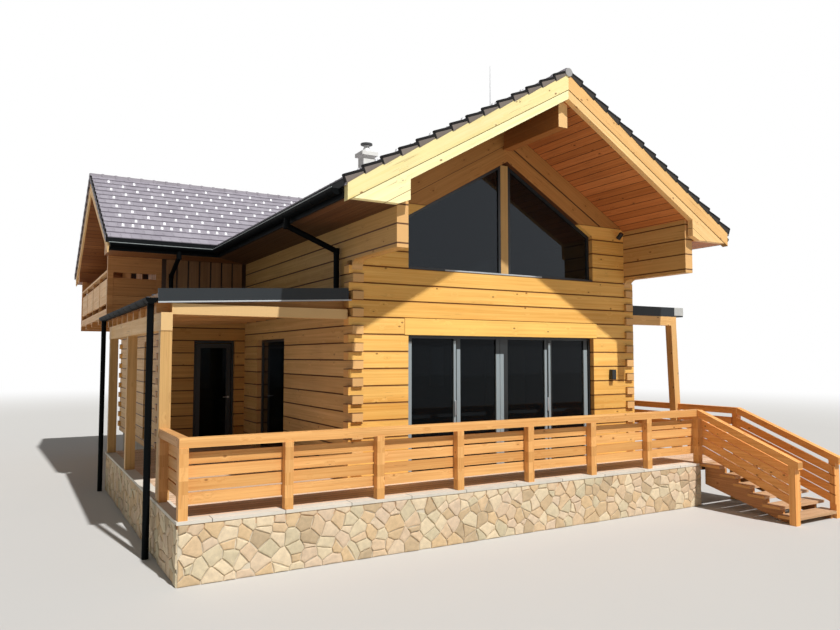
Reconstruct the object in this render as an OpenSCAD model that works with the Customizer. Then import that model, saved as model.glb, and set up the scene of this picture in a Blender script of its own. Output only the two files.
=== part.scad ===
// Alpine chalet of squared logs. Millimetres, +Z up.
// The origin lies on the ground under the middle of the main house.
// X runs along the main ridge, and the front wing comes forward towards -Y.

/* [Site and terrace] */
// Height of the terrace and of the ground floor above the lowest ground
deck_z = 750; // [500:10:1200]
// Depth of the terrace in front of the front wing
terrace_d = 1340; // [1100:10:2400]
// Thickness of the deck boards with their bearers
deck_t = 120; // [90:5:180]
// Thickness of the stone wall under the terrace
stone_t = 300; // [200:10:400]
// Length of the stone wall past the right wall of the front wing
stone_past = 250; // [0:10:600]
// Width of the stone coping
coping_w = 160; // [120:5:240]
// Thickness of the stone coping
coping_t = 40; // [30:5:80]
// Width of the walkway along the right wall
walk_w = 1420; // [1100:10:2000]

/* [Front wing] */
// Width of the front wing
wing_w = 6000; // [5200:50:7200]
// Length of the front wing, from the main house to its gable wall
wing_l = 5700; // [5000:50:7000]
// Overhang of the front gable roof
front_out = 1500; // [1000:10:2000]

/* [Main house] */
// Length of the main house
main_w = 9600; // [9000:50:12000]
// Depth of the main house
main_d = 6000; // [5400:50:7200]
// Overhang of the roof at the gables of the main house
verge_out = 1120; // [600:10:1300]
// Thickness of the boarded walls of the upper storey
board_wall_t = 180; // [120:5:240]
// Thickness of the upper floor
upper_floor_t = 200; // [160:5:280]
// Thickness of the ground floor
floor_t = 150; // [100:5:200]

/* [Log walls] */
// Thickness of a squared log
log_t = 180; // [140:5:240]
// Height of one course of logs
course = 268; // [220:2:320]
// How far the first log starts below the floor
log_drop = 157; // [60:1:200]
// How far the lapped log ends stand out at a corner
lap = 50; // [20:1:90]
// Depth of the groove between two courses
groove = 12; // [6:1:20]
// Height of a corbel's underside above the floor
corbel_h = 3400; // [3000:10:3600]

/* [Roof] */
// Pitch of the front wing's roof, in degrees
pitch = 30; // [24:0.5:36]
// Pitch of the main house's roof, in degrees
main_pitch = 28.5; // [24:0.1:36]
// Overhang of the eaves
eave_out = 800; // [500:10:1000]
// Height of the roof deck's edge at the eaves above the floor
eave_h = 4140; // [3900:10:4600]
// Thickness of the roof, measured upright
roof_t = 360; // [260:5:420]
// Height of the boxed eaves
box_h = 170; // [120:5:200]
// Gauge of the roof tiles along the slope
tile_gauge = 320; // [280:5:420]
// Height of a tile's lower edge above the roof deck
tile_butt = 95; // [70:1:120]
// Height of a tile's upper edge above the roof deck
tile_head = 50; // [30:1:65]
// Overhang of the tiles past the roof's edges
tile_out = 40; // [20:1:70]
// Thickness of the metal fascia along the eaves
fascia_t = 25; // [10:1:40]
// Radius of the ridge caps
cap_r = 110; // [90:1:150]
// Length of one ridge cap
cap_l = 400; // [300:10:500]
// Width of the ridge purlin
purlin_w = 180; // [140:5:240]
// Depth of the ridge purlin under the roof
purlin_d = 420; // [300:10:520]
// How far the ridge purlin runs on behind the front wall
purlin_in = 2500; // [1500:50:4000]

/* [Bargeboards] */
// Depth of the upper bargeboard, measured upright
upper_board = 215; // [150:5:240]
// Thickness of a bargeboard
board_t = 32; // [24:1:45]
// Width of the wider foot of a lower bargeboard past the wall
barge_foot = 40; // [20:5:100]
// Height of the slanted end of that foot
barge_slant = 70; // [40:5:120]

/* [Openings] */
// Clear height of doors and tall windows
door_h = 2255; // [2000:1:2300]
// Width of the front glazing and of the gable window
glazing_w = 4000; // [3000:50:4600]
// How far windows and doors stand back from the wall's face
recess = 95; // [60:1:110]
// Height of the gable window's sill above the floor, in courses of logs
sill_courses = 13; // [12:1:14]
// Depth of each of the two sloping boards over the gable window, measured upright
rake_board = 312; // [280:5:380]
// How far the lintel runs past the front glazing
lintel_past = 70; // [0:5:200]
// Width of a window frame's members
frame_w = 50; // [40:1:90]
// Depth of a window frame
frame_d = 70; // [50:1:80]
// Thickness of the glass
glass_t = 24; // [16:1:36]
// Width of the tall window in the left wall
side_window_w = 1690; // [1000:10:2200]
// Distance from the main house to that window
side_window_y = 930; // [500:10:1400]
// Width of the porch door's opening
door_w = 880; // [800:5:1100]
// Distance from the porch door's opening to the front wing
door_x = 220; // [150:5:600]
// Clear gap round the door leaf
door_gap = 10; // [8:1:14]
// Thickness of the door leaf
leaf_t = 60; // [50:1:68]
// Width of the door leaf's stiles
stile_w = 100; // [70:1:130]

/* [Porch and canopy] */
// How far the porch stands out past the left wall of the main house
porch_out = 990; // [800:10:1600]
// Distance from the front wall to the middle porch post
mid_post = 3000; // [2400:50:4000]
// Distance from the main house to the front of the rear porch post
back_post = 250; // [160:10:500]
// Width of a porch post
post_w = 150; // [120:5:200]
// Height of the porch's side beam
beam_h = 245; // [180:5:300]
// Height of the porch posts above the floor
post_h = 2255; // [2100:5:2300]
// Height of the porch roof's fascia
fascia_h = 190; // [140:5:240]
// Width of a rafter under the porch roof
rafter_w = 80; // [60:5:120]
// Rafters under the porch roof
rafters = 9; // [6:1:14]
// Rise of the porch roof from its gutter to the wall
porch_rise = 140; // [80:5:260]
// Sideways lean of the canopy post over its height
post_lean = 120; // [0:5:200]
// Width of the canopy over the right wall's walkway
canopy_w = 1500; // [1200:10:1800]

/* [Balcony] */
// Depth of the balcony
balcony_d = 1050; // [800:10:1100]
// Height of the balcony's top rails
balcony_rail_t = 90; // [50:5:120]
// Height of the open slots over and under the balcony's panels
balcony_slot = 115; // [60:5:160]
// Bays of the balcony's front, with a joist under each upright
balcony_bays = 4; // [3:1:8]
// Thickness of the balcony's joists and boards
balcony_t = 180; // [140:5:240]

/* [Railings] */
// Height of the railings
rail_h = 950; // [900:10:1100]
// Height of the top rail
top_rail_h = 115; // [80:5:140]
// Width of the top rail
top_rail_w = 120; // [90:5:150]
// Width of a railing post
rail_post = 110; // [80:5:130]
// Height of one slat
slat_h = 135; // [100:5:160]
// Gap between slats
slat_gap = 22; // [10:1:40]
// Thickness of a slat
slat_t = 28; // [20:1:40]
// Gap between the top rail and the first slat
slat_top_gap = 66; // [30:1:100]
// Slats in a railing
slats = 4; // [3:1:5]
// Bays of the front railing
front_bays = 7; // [5:1:9]

/* [Stair] */
// Treads below the deck
treads = 5; // [4:1:7]
// Going from tread to tread
going = 265; // [240:5:320]
// Depth of a tread
tread_d = 310; // [280:5:360]
// Thickness of a tread
tread_t = 45; // [35:1:60]
// Thickness of a stringer
stringer_t = 50; // [40:1:70]
// Depth of the landing in front of the deck
landing_d = 430; // [300:10:600]
// Drop of the handrail over the stair
handrail_drop = 680; // [550:10:760]

/* [Chimney and gutters] */
// Width of the chimney
chimney_w = 330; // [300:10:600]
// Height of the chimney above the main ridge
chimney_h = 995; // [600:10:1200]
// Distance of the chimney from the main ridge
chimney_y = 1900; // [1200:10:2600]
// Distance of the chimney from the wing's ridge
chimney_x = 510; // [400:10:900]
// Radius of a gutter
gutter_r = 80; // [60:1:90]
// Radius of a downpipe
pipe_r = 45; // [35:1:55]
// Distance from the front wall to the wing's downpipes
pipe_back = 420; // [300:10:900]
// Clear gap between a downpipe and the wall behind it
pipe_gap = 34; // [10:2:60]

/* [Hidden] */
$fn = 48;

// Colours
log_colour = "#d9964a";
beam_colour = "#e0b878";
soffit_colour = "#b0643a";
tile_colour = "#5b5254";
metal_colour = "#23282b";
stone_colour = "#9c8a70";
coping_colour = "#d8d2c6";
deck_colour = "#b08b72";
glass_colour = "#2a3238";
render_colour = "#d9d7cf";

// Plan of the walls
half_w = wing_w / 2;
half_d = main_d / 2;
half_l = main_w / 2;
front_y = -half_d - wing_l;

// Roof lines
wing_half = half_w + eave_out;
main_half = half_d + eave_out;
eave_z = deck_z + eave_h;
verge_y = front_y - front_out;
verge_x = half_l + verge_out;
function rise(run) = run * tan(pitch);
function main_rise(run) = run * tan(main_pitch);
function wing_top(x) = eave_z + rise(wing_half - abs(x));
function main_top(y) = eave_z + main_rise(main_half - abs(y));
// Where the valleys end: at the wing's ridge, or beside it where the wing's ridge is the higher one
steepness = tan(pitch) / tan(main_pitch);
valley_y = min(0, wing_half * steepness - main_half);
valley_x = max(1, wing_half - main_half / steepness);

// Levels
log_z = deck_z - log_drop;
corbel_z = deck_z + corbel_h;
sill_z = log_z + sill_courses * course;
wing_courses = ceil((wing_top(half_w) - roof_t - log_z) / course);
gable_log_z = log_z + wing_courses * course;
main_courses = 11;
storey_z = log_z + main_courses * course;
box_z = eave_z - box_h;

// Plan of the terrace and the porch
porch_x = -half_l - porch_out;
porch_w = -half_w - porch_x;
walk_x = half_w + walk_w;
terrace_y = front_y - terrace_d;
porch_back_y = -half_d;
stone_x = half_w + stone_past;

// Stair
rise_h = deck_z / (treads + 1);
stair_x0 = stone_x - 50;
stair_x1 = walk_x;
stair_y = terrace_y - landing_d - (treads - 1) * going - tread_d;

// Porch roof
porch_beam_z = deck_z + post_h;
rafter_h = 130;
porch_fascia_z = porch_beam_z + beam_h + rafter_h;
porch_post_y = [front_y, front_y + mid_post, porch_back_y - back_post];
porch_eave = 40;
balcony_x = -half_l - balcony_d;
balcony_rail_z = box_z - 240;
balcony_floor_t = 60;
joist_w = 110;
porch_t = 120;
canopy_z = porch_fascia_z + 90;
canopy_beam_h = 180;

// Front railing and stair
bay = (stair_x0 - porch_x) / front_bays;
right_rail_end = front_y + mid_post;
rail_set = 8;
elbow = 6;
cap_edge = 22;
cap_rise = 80;

// Porch door
door_x1 = -half_w - door_x;
door_x0 = door_x1 - door_w;

// Windows of the gable ends: middle along Y, width and sill height above the floor
end_windows = [[-1500, 1000, 0], [1300, 1000, 900]];
// Windows of the rear wall: middle along X, width and sill height above the floor
rear_windows = [[-3000, 1400, 900], [0, 1400, 900], [3000, 1400, 900]];
// Door and window of an upper gable wall: middle along Y, width, sill height above the storey and height
gable_openings = [[-1000, 900, 0, 2100], [900, 1000, 900, 1200]];
// Window of the main house beside the walkway: both sides along X and sill height above the floor
east_window = [half_w + 400, half_l - 400, 900];

// Small fixed sizes
eps = 0.01;
seat = 0.3;

// Profiles and walls

// A profile drawn in Y and Z is drawn out along X for a length.
module along_x(length) { rotate([90, 0, 90]) linear_extrude(length) children(); }

// A profile drawn in X and Z is drawn out along -Y for a length.
module along_y(length) { rotate([90, 0, 0]) linear_extrude(length) children(); }

// A box given by two corners.
module box(a, b) { translate(a) cube(b - a); }

// The cross-section of a log wall, with a groove at each joint on both faces.
module log_section(z0, z1, joints) {
  polygon(concat(
    [[0, z0]],
    [for (z = joints) each [[0, z - groove], [groove, z], [0, z + groove]]],
    [[0, z1], [log_t, z1]],
    [for (i = [len(joints) - 1:-1:0])
      each [[log_t, joints[i] + groove], [log_t - groove, joints[i]], [log_t, joints[i] - groove]]],
    [[log_t, z0]]
  ));
}

// Joints of the walls along X lie on the courses, and those of the walls along Y half a course higher.
function x_joints(z1) = [for (z = [log_z + course:course:z1 - groove - 1]) z];
function y_joints(z1) = [for (z = [log_z + course / 2:course:z1 - groove - 1]) z];

// Log ends at a corner: every second half course, from z0 up to z1.
module log_ends(size, z0, z1) {
  for (z = [z0:course:z1 - course / 2 + 1]) translate([0, 0, z]) cube([size[0], size[1], course / 2]);
}

// A wall along X between x0 and x1, with its outer face at y and its thickness towards +Y.
module wall_x(x0, x1, y, z1) {
  translate([x0, y, 0]) along_x(x1 - x0) log_section(log_z, z1, x_joints(z1));
}

// A wall along Y between y0 and y1, with its outer face at x and its thickness towards +X.
module wall_y(y0, y1, x, z1) {
  translate([x, y1, 0]) along_y(y1 - y0) log_section(log_z, z1, y_joints(z1));
}

// The space under the roof of the front wing.
module under_wing_roof() {
  along_y(-verge_y)
    polygon([
      [-wing_half, 0], [wing_half, 0],
      [wing_half, wing_top(wing_half) - roof_t], [0, wing_top(0) - roof_t],
      [-wing_half, wing_top(wing_half) - roof_t]
    ]);
}

// The space under the roof of the main house.
module under_main_roof() {
  translate([-verge_x, 0, 0]) along_x(2 * verge_x)
    polygon([
      [-main_half, 0], [main_half, 0],
      [main_half, main_top(main_half) - roof_t - seat], [0, main_top(0) - roof_t - seat],
      [-main_half, main_top(main_half) - roof_t - seat]
    ]);
}

// Room for the lapped log ends at the front corners of the wing and of the main house.
module corner_notches() {
  out = lap + seat;
  for (s = [-1, 1]) mirror([s > 0 ? 1 : 0, 0, 0])
    box([-half_w - out, front_y - out, -1], [-half_w + log_t + seat, front_y + log_t + seat, eave_z]);
  box([-half_l - out, -half_d - out, -1], [-half_l + log_t + seat, 1 - half_d, eave_z]);
}

// Ground works

module foundation() color(stone_colour) {
  box([-half_l + log_t / 2, -half_d + log_t / 2, 0], [half_l - log_t / 2, half_d - log_t / 2, log_z]);
  box([-half_w + log_t / 2, front_y + log_t / 2, 0],
    [half_w - log_t / 2, -half_d + log_t / 2 + eps, log_z]);
}

module terrace_base() color(stone_colour) {
  top = deck_z - deck_t;
  box([porch_x, terrace_y, 0], [stone_x, terrace_y + stone_t, top]);
  box([porch_x, terrace_y + stone_t - eps, 0], [porch_x + stone_t, porch_back_y - lap - seat, top]);
  box([stone_x - stone_t, terrace_y + stone_t - eps, 0], [stone_x, front_y - lap - seat, top]);
}

module terrace_coping() color(coping_colour) {
  z = deck_z - coping_t;
  box([porch_x - 20, terrace_y - 20, z], [stone_x + 20, terrace_y + coping_w, deck_z]);
  box([porch_x - 20, terrace_y + coping_w - eps, z], [porch_x + coping_w, porch_back_y, deck_z]);
}

module terrace_deck() color(deck_colour) difference() {
  z = deck_z - deck_t;
  union() {
    box([porch_x + coping_w, terrace_y + coping_w, z], [-half_w, porch_back_y, deck_z]);
    box([-half_w - eps, terrace_y + coping_w, z], [half_w + eps, front_y, deck_z]);
    box([half_w, terrace_y + coping_w, z], [walk_x, porch_back_y, deck_z]);
    box([stone_x + 20, terrace_y - 20, z], [walk_x, terrace_y + coping_w + eps, deck_z]);
    box([porch_x, terrace_y, z], [stone_x + 20 + eps, terrace_y + coping_w + eps, deck_z - coping_t]);
    box([porch_x, terrace_y, z], [porch_x + coping_w + eps, porch_back_y, deck_z - coping_t]);
  }
  corner_notches();
}

module deck_posts() color(beam_colour) {
  pitch_y = (porch_back_y - terrace_y - post_w) / 5;
  for (i = [0:4]) translate([walk_x - post_w - 10, terrace_y + i * pitch_y, 0])
    cube([post_w, post_w, deck_z - deck_t]);
}

// Stair

module stair_treads() color(deck_colour) difference() {
  union() {
    box([stair_x0, terrace_y - landing_d, deck_z - tread_t], [stair_x1, terrace_y - 20, deck_z]);
    for (i = [1:treads])
      translate([stair_x0, stair_y + (treads - i) * going, deck_z - i * rise_h - tread_t])
        cube([stair_x1 - stair_x0, tread_d, tread_t]);
  }
  for (x = [stair_x0, stair_x1 - rail_post])
    box([x - 1 - seat, stair_y - 1, 0], [x + rail_post + 1 + seat, stair_y + rail_post + seat, deck_z]);
}

module stringer() {
  under = deck_z - tread_t;
  along_x(stringer_t) polygon(concat(
    [[terrace_y - 20, under]],
    [[terrace_y - landing_d, under]],
    [for (i = [1:treads]) each [
      [terrace_y - landing_d - (i - 1) * going, under - i * rise_h],
      [terrace_y - landing_d - i * going, under - i * rise_h]
    ]],
    [[terrace_y - landing_d - treads * going, 0], [terrace_y - landing_d - (treads - 1) * going, 0]],
    [[terrace_y - 20, under - 330]]
  ));
}

module stair_stringers() color(beam_colour) {
  inset = rail_post + slat_t + 10;
  for (x = [stair_x0 + inset, stair_x1 - inset - stringer_t]) translate([x, 0, 0]) stringer();
}

// Railings

// Slats of a straight railing panel, drawn as a section in thickness and height.
module slat_stack(z) {
  for (i = [0:slats - 1])
    translate([0, z + rail_h - slat_drop(i) - slat_h]) square([slat_t, slat_h]);
}

// How far a slat's upper edge lies below the top of the railing.
function slat_drop(i) = top_rail_h + slat_top_gap + i * (slat_h + slat_gap);

// A railing along X from x0 to x1 with its outer face at y, and posts at the given places.
module railing_x(x0, x1, y, posts) {
  translate([x0, y + rail_post, 0]) along_x(x1 - x0) slat_stack(deck_z);
  box([x0, y + rail_set, deck_z + rail_h - top_rail_h], [x1, y + rail_set + top_rail_w, deck_z + rail_h]);
  for (x = posts) box([x, y, deck_z], [x + rail_post, y + rail_post + eps, deck_z + rail_h - top_rail_h]);
}

module front_railing() color(log_colour)
  railing_x(porch_x, stair_x0 + rail_post, terrace_y, [for (i = [0:front_bays]) porch_x + i * bay]);

// A railing along Y with its outer face at x, on the side given by s, from y0 to y1.
module railing_y(y0, y1, x, s, posts, slat_y0) {
  translate([x, 0, 0]) mirror([s < 0 ? 1 : 0, 0, 0]) {
    translate([-rail_post - slat_t, y1, 0]) along_y(y1 - slat_y0) slat_stack(deck_z);
    box([-rail_set - top_rail_w, y0, deck_z + rail_h - top_rail_h], [-rail_set, y1, deck_z + rail_h]);
    for (y = posts) box([-rail_post - eps, y, deck_z], [0, y + rail_post, deck_z + rail_h - top_rail_h]);
  }
}

module left_railing() color(log_colour) {
  y1 = front_y - seat;
  railing_y(terrace_y + rail_set + top_rail_w + seat, y1, porch_x, -1, [y1 - rail_post],
    terrace_y + rail_post + slat_t + seat);
}

module right_railing() color(log_colour) {
  y1 = front_y - seat;
  railing_y(terrace_y, y1, walk_x, 1, [terrace_y, y1 - rail_post - 200], terrace_y + rail_post);
  y0 = front_y + post_w + seat;
  railing_y(y0, right_rail_end, walk_x, 1, [right_rail_end - rail_post], y0);
}

// A sloping railing beside the stair: a handrail, slats on its inner side and a post at the foot.
module stair_railing() {
  run = terrace_y - stair_y;
  slope = handrail_drop / run;
  top = deck_z + rail_h;
  foot_y = stair_y - 60;
  // A sloping board between two places along Y, its upper edge a given drop below the handrail's top
  module sloping(y0, y1, drop, height, x, thick) translate([x, 0, 0]) along_x(thick) {
    z0 = top - drop - slope * (terrace_y - y0);
    z1 = top - drop - slope * (terrace_y - y1);
    polygon([[y1, z1], [y0, z0], [y0, z0 - height], [y1, z1 - height]]);
  }
  sloping(foot_y, terrace_y, 0, top_rail_h, (rail_post - top_rail_w) / 2, top_rail_w);
  for (i = [0:slats - 1])
    sloping(stair_y, terrace_y - seat, slat_drop(i), slat_h, rail_post - eps, slat_t);
  along_x(rail_post) polygon([
    [stair_y + rail_post, 0], [stair_y + rail_post, top - top_rail_h + eps - slope * (run - rail_post)],
    [stair_y, top - top_rail_h + eps - slope * run], [stair_y, 0]
  ]);
}

module stair_railings() color(log_colour) {
  translate([stair_x0, 0, 0]) stair_railing();
  translate([stair_x1, 0, 0]) mirror([1, 0, 0]) stair_railing();
}

// Log walls of the front wing

module ground_floor() color(deck_colour) {
  box([-half_l + log_t, -half_d + log_t, log_z + seat], [half_l - log_t, half_d - log_t, deck_z]);
  box([-half_w + log_t, front_y + log_t, log_z + seat], [half_w - log_t, -half_d + log_t + eps, deck_z]);
}

// The outline under the sloping boards over the gable window.
module gable_window_outline(inset) {
  half = glazing_w / 2 - inset;
  top = wing_top(0) - roof_t - 2 * rake_board - inset / cos(pitch);
  polygon([
    [-half, sill_z + inset], [half, sill_z + inset],
    [half, top - rise(half)], [0, top], [-half, top - rise(half)]
  ]);
}

module front_wall() color(log_colour) difference() {
  union() {
    intersection() {
      wall_x(-half_w + log_t, half_w - log_t, front_y, gable_log_z);
      under_wing_roof();
    }
    for (x = [-half_w - lap, half_w - log_t]) translate([x, front_y, 0])
      log_ends([log_t + lap, log_t], log_z + course / 2, corbel_z);
  }
  box([-glazing_w / 2, front_y - 1, deck_z],
    [glazing_w / 2, front_y + log_t + 1, deck_z + door_h + eps]);
  box([-glazing_w / 2 - lintel_past, front_y - 1, deck_z + door_h],
    [glazing_w / 2 + lintel_past, front_y + log_t + 1, deck_z + door_h + course]);
  translate([0, front_y + log_t + 1, 0]) along_y(log_t + 2) gable_window_outline(0);
}

module front_lintel() color(log_colour) {
  x = glazing_w / 2 + lintel_past;
  box([-x, front_y - 12, deck_z + door_h], [x, front_y + log_t, deck_z + door_h + course]);
}

// The left wall, with its corner ends and the corbel that carries the front roof.
module side_wall() intersection() {
  difference() {
    union() {
      wall_y(front_y + log_t, -half_d + log_t, -half_w, eave_z + roof_t);
      translate([-half_w, front_y - lap, 0]) log_ends([log_t, log_t + lap], log_z, corbel_z);
      box([-half_w, verge_y + board_t, corbel_z],
        [-half_w + log_t, front_y + log_t + eps, eave_z + roof_t]);
      translate([-half_w, front_y, corbel_z]) difference() {
        box([0, -lap * 3, -lap * 3], [log_t, 0, eps]);
        translate([-1, -lap * 3, -lap * 3]) rotate([0, 90, 0]) cylinder(r = lap * 3, h = log_t + 2);
      }
    }
    box([-half_w - 1, -half_d - side_window_y - side_window_w, deck_z],
      [-half_w + log_t + 1, -half_d - side_window_y, deck_z + door_h]);
  }
  under_wing_roof();
}

module left_wall() color(log_colour) side_wall();
module right_wall() color(log_colour) mirror([1, 0, 0]) side_wall();

// Log walls of the main house

module porch_wall_left() color(log_colour) {
  wall_x(-half_l + log_t, door_x0, -half_d, storey_z);
  translate([-half_l - lap, -half_d, 0]) log_ends([log_t + lap, log_t], log_z + course / 2, storey_z);
}

module porch_wall_right() color(log_colour) wall_x(door_x1, -half_w, -half_d, storey_z);

module porch_wall_over_door() color(log_colour) difference() {
  wall_x(door_x0, door_x1, -half_d, storey_z);
  box([door_x0 - 1, -half_d - 1, 0], [door_x1 + 1, -half_d + log_t + 1, deck_z + door_h]);
}

module east_wall_front() color(log_colour) difference() {
  union() {
    wall_x(half_w, half_l - log_t, -half_d, storey_z);
    translate([half_l - log_t, -half_d, 0]) log_ends([log_t + lap, log_t], log_z + course / 2, storey_z);
  }
  box([east_window[0], -half_d - 1, deck_z + east_window[2]],
    [east_window[1], -half_d + log_t + 1, deck_z + door_h]);
}

module main_end_wall() difference() {
  union() {
    wall_y(-half_d + log_t, half_d - log_t, -half_l, storey_z);
    for (y = [-half_d - lap, half_d - log_t]) translate([-half_l, y, 0])
      log_ends([log_t, log_t + lap], log_z, storey_z);
  }
  for (w = end_windows)
    box([-half_l - 1, w[0] - w[1] / 2, deck_z + w[2]],
      [-half_l + log_t + 1, w[0] + w[1] / 2, deck_z + door_h]);
}

module main_left_wall() color(log_colour) main_end_wall();
module main_right_wall() color(log_colour) mirror([1, 0, 0]) main_end_wall();

module main_rear_wall() color(log_colour) difference() {
  union() {
    wall_x(-half_l + log_t, half_l - log_t, half_d - log_t, storey_z);
    for (x = [-half_l - lap, half_l - log_t]) translate([x, half_d - log_t, 0])
      log_ends([log_t + lap, log_t], log_z + course / 2, storey_z);
  }
  for (w = rear_windows)
    box([w[0] - w[1] / 2, half_d - log_t - 1, deck_z + w[2]],
      [w[0] + w[1] / 2, half_d + 1, deck_z + door_h]);
}

// Upper storey

module upper_floor() color(deck_colour)
  box([-half_l + log_t, -half_d + log_t, storey_z - upper_floor_t],
    [half_l - log_t, half_d - log_t, storey_z]);

module knee_walls() color(log_colour) difference() {
  intersection() {
    union() {
      for (s = [-1, 1]) {
        x0 = s < 0 ? -half_l : half_w;
        box([x0, -half_d, storey_z], [x0 + half_l - half_w, -half_d + board_wall_t, eave_z + roof_t]);
      }
      box([-half_l, half_d - board_wall_t, storey_z], [half_l, half_d, eave_z + roof_t]);
    }
    under_main_roof();
  }
  translate([0, 0, box_z]) wing_area();
}

module upper_gable_wall() difference() {
  intersection() {
    box([-half_l, -half_d + board_wall_t, storey_z],
      [-half_l + board_wall_t, half_d - board_wall_t, eave_z * 2]);
    under_main_roof();
  }
  for (w = gable_openings)
    box([-half_l - 1, w[0] - w[1] / 2, storey_z + w[2]],
      [-half_l + board_wall_t + 1, w[0] + w[1] / 2, storey_z + w[2] + w[3]]);
}

module left_gable_wall() color(log_colour) upper_gable_wall();
module right_gable_wall() color(log_colour) mirror([1, 0, 0]) upper_gable_wall();

// Porch

module porch_posts() color(beam_colour)
  for (y = porch_post_y) box([porch_x, y, deck_z], [porch_x + post_w, y + post_w, porch_beam_z]);

module porch_beams() color(beam_colour) difference() {
  union() {
    box([porch_x, front_y - 10, porch_beam_z],
      [porch_x + post_w, porch_back_y - lap - seat, porch_beam_z + beam_h]);
    box([porch_x + post_w - eps, front_y + 40, porch_beam_z + beam_h - 20],
      [-half_w, front_y + 40 + post_w, porch_fascia_z - seat]);
  }
  corner_notches();
}

// The cross-section of the porch roof: it rises towards the wall of the front wing.
module porch_roof_section(z, t) {
  x0 = porch_x - porch_eave;
  polygon([[x0, z], [-half_w, z + porch_rise], [-half_w, z + porch_rise + t], [x0, z + t]]);
}

module porch_roof() color(soffit_colour) difference() {
  translate([0, porch_back_y, 0]) along_y(porch_back_y - front_y - board_t)
    porch_roof_section(porch_fascia_z, porch_t);
  corner_notches();
}

// Rafters that lie on the side beam and against the walls, with a board between each two over the beam.
module rafter_row() {
  y0 = front_y + 40 + post_w + seat;
  y1 = porch_back_y - lap - rafter_w - 2 * seat;
  pitch_y = (y1 - y0) / (rafters - 1);
  x0 = porch_x - porch_eave + 10;
  slope = porch_rise / (-half_w - porch_x + porch_eave);
  function under(x) = porch_fascia_z + (x - porch_x + porch_eave) * slope - seat;
  for (i = [0:rafters - 1]) translate([0, y0 + i * pitch_y + rafter_w, 0]) along_y(rafter_w) polygon([
    [x0, under(x0)], [-half_w - seat, under(-half_w - seat)], [-half_w - seat, under(-half_w) - rafter_h],
    [porch_x + post_w + 10, porch_beam_z + beam_h + seat], [x0, porch_beam_z + beam_h + seat]
  ]);
  for (i = [0:rafters - 2]) translate([0, y0 + (i + 1) * pitch_y + eps, 0])
    along_y(pitch_y - rafter_w + 2 * eps) polygon([
      [porch_x + 30, under(porch_x + 30) - 4], [porch_x + 60, under(porch_x + 60) - 4],
      [porch_x + 60, porch_beam_z + beam_h + seat], [porch_x + 30, porch_beam_z + beam_h + seat]
    ]);
}

module porch_rafters() color(beam_colour) rafter_row();

module porch_fascia() color(metal_colour) difference() {
  translate([0, front_y + board_t, 0]) along_y(board_t) porch_roof_section(porch_fascia_z, fascia_h);
  corner_notches();
}

module canopy_roof() color(metal_colour) difference() {
  box([half_w, front_y, canopy_z], [half_w + canopy_w, porch_back_y, canopy_z + fascia_h]);
  corner_notches();
}

module canopy_post() color(beam_colour) difference() {
  beam_z = canopy_z - canopy_beam_h;
  x = walk_x - rail_set;
  union() {
    translate([x, front_y + post_w, 0]) along_y(post_w) polygon([
      [-post_w, deck_z], [0, deck_z], [-post_lean, beam_z + eps], [-post_w - post_lean, beam_z + eps]
    ]);
    box([half_w, front_y, beam_z], [x - post_lean, front_y + post_w, canopy_z]);
  }
  corner_notches();
}

// Balcony at the left gable

module balcony_floor() color(beam_colour) difference() {
  union() {
    box([balcony_x, -half_d, storey_z - balcony_floor_t], [-half_l, half_d, storey_z]);
    for (i = [0:balcony_bays])
      translate([balcony_x, -half_d + i * (main_d - joist_w) / balcony_bays, storey_z - balcony_t])
        cube([-half_l - balcony_x, joist_w, balcony_t - balcony_floor_t + eps]);
  }
  for (y = [-half_d - 1, half_d - log_t - seat])
    box([-half_l - lap - seat, y, 0], [-half_l + 1, y + log_t + 1 + seat, storey_z + 1]);
}

// At each end of the balcony: two posts, boards, and a rail over a slot right under the eaves' beam.
module balcony_side_panels() color(log_colour)
  for (y = [-half_d, half_d - rail_post]) {
    x0 = balcony_x + rail_post - eps;
    x1 = -half_l - rail_post + eps;
    for (x = [balcony_x, -half_l - rail_post])
      box([x, y, storey_z], [x + rail_post, y + rail_post, box_z - seat]);
    panel_z = balcony_rail_z - balcony_rail_t - balcony_slot;
    box([x0, y + 30, storey_z], [x1, y + 60, panel_z]);
    box([x0, y + 10, balcony_rail_z - balcony_rail_t], [x1, y + 100, balcony_rail_z + eps]);
    box([x0, y, balcony_rail_z], [x1, y + rail_post, box_z - 40]);
  }

// The balcony's front: a bottom board, uprights between the bays, a panel with a slot over and under it.
module balcony_front_rail() color(log_colour) {
  y0 = -half_d + rail_post + seat;
  y1 = half_d - rail_post - seat;
  top = balcony_rail_z - balcony_rail_t;
  bay_y = (y1 - y0 - rail_post / 2) / balcony_bays;
  foot_z = storey_z + 100;
  box([balcony_x, y0, top], [balcony_x + rail_post, y1, top + balcony_rail_t / 2]);
  box([balcony_x + 10, y0, storey_z], [balcony_x + 60, y1, foot_z]);
  for (z = [foot_z + balcony_slot + 60, top - balcony_slot - 150])
    box([balcony_x + 60 - eps, y0, z], [balcony_x + 100, y1, z + 90]);
  box([balcony_x + 30, y0, foot_z + balcony_slot], [balcony_x + 60, y1, top - balcony_slot]);
  for (i = [0:balcony_bays]) translate([balcony_x + 10, y0 + i * bay_y, foot_z - eps])
    cube([60, rail_post / 2, top - foot_z + 2 * eps]);
}

// Roof timbers

module ridge_purlin() color(beam_colour) {
  top = wing_top(0) - roof_t;
  intersection() {
    box([-purlin_w / 2, verge_y + board_t, top - purlin_d], [purlin_w / 2, front_y + purlin_in, top + 1]);
    under_wing_roof();
  }
}

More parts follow.
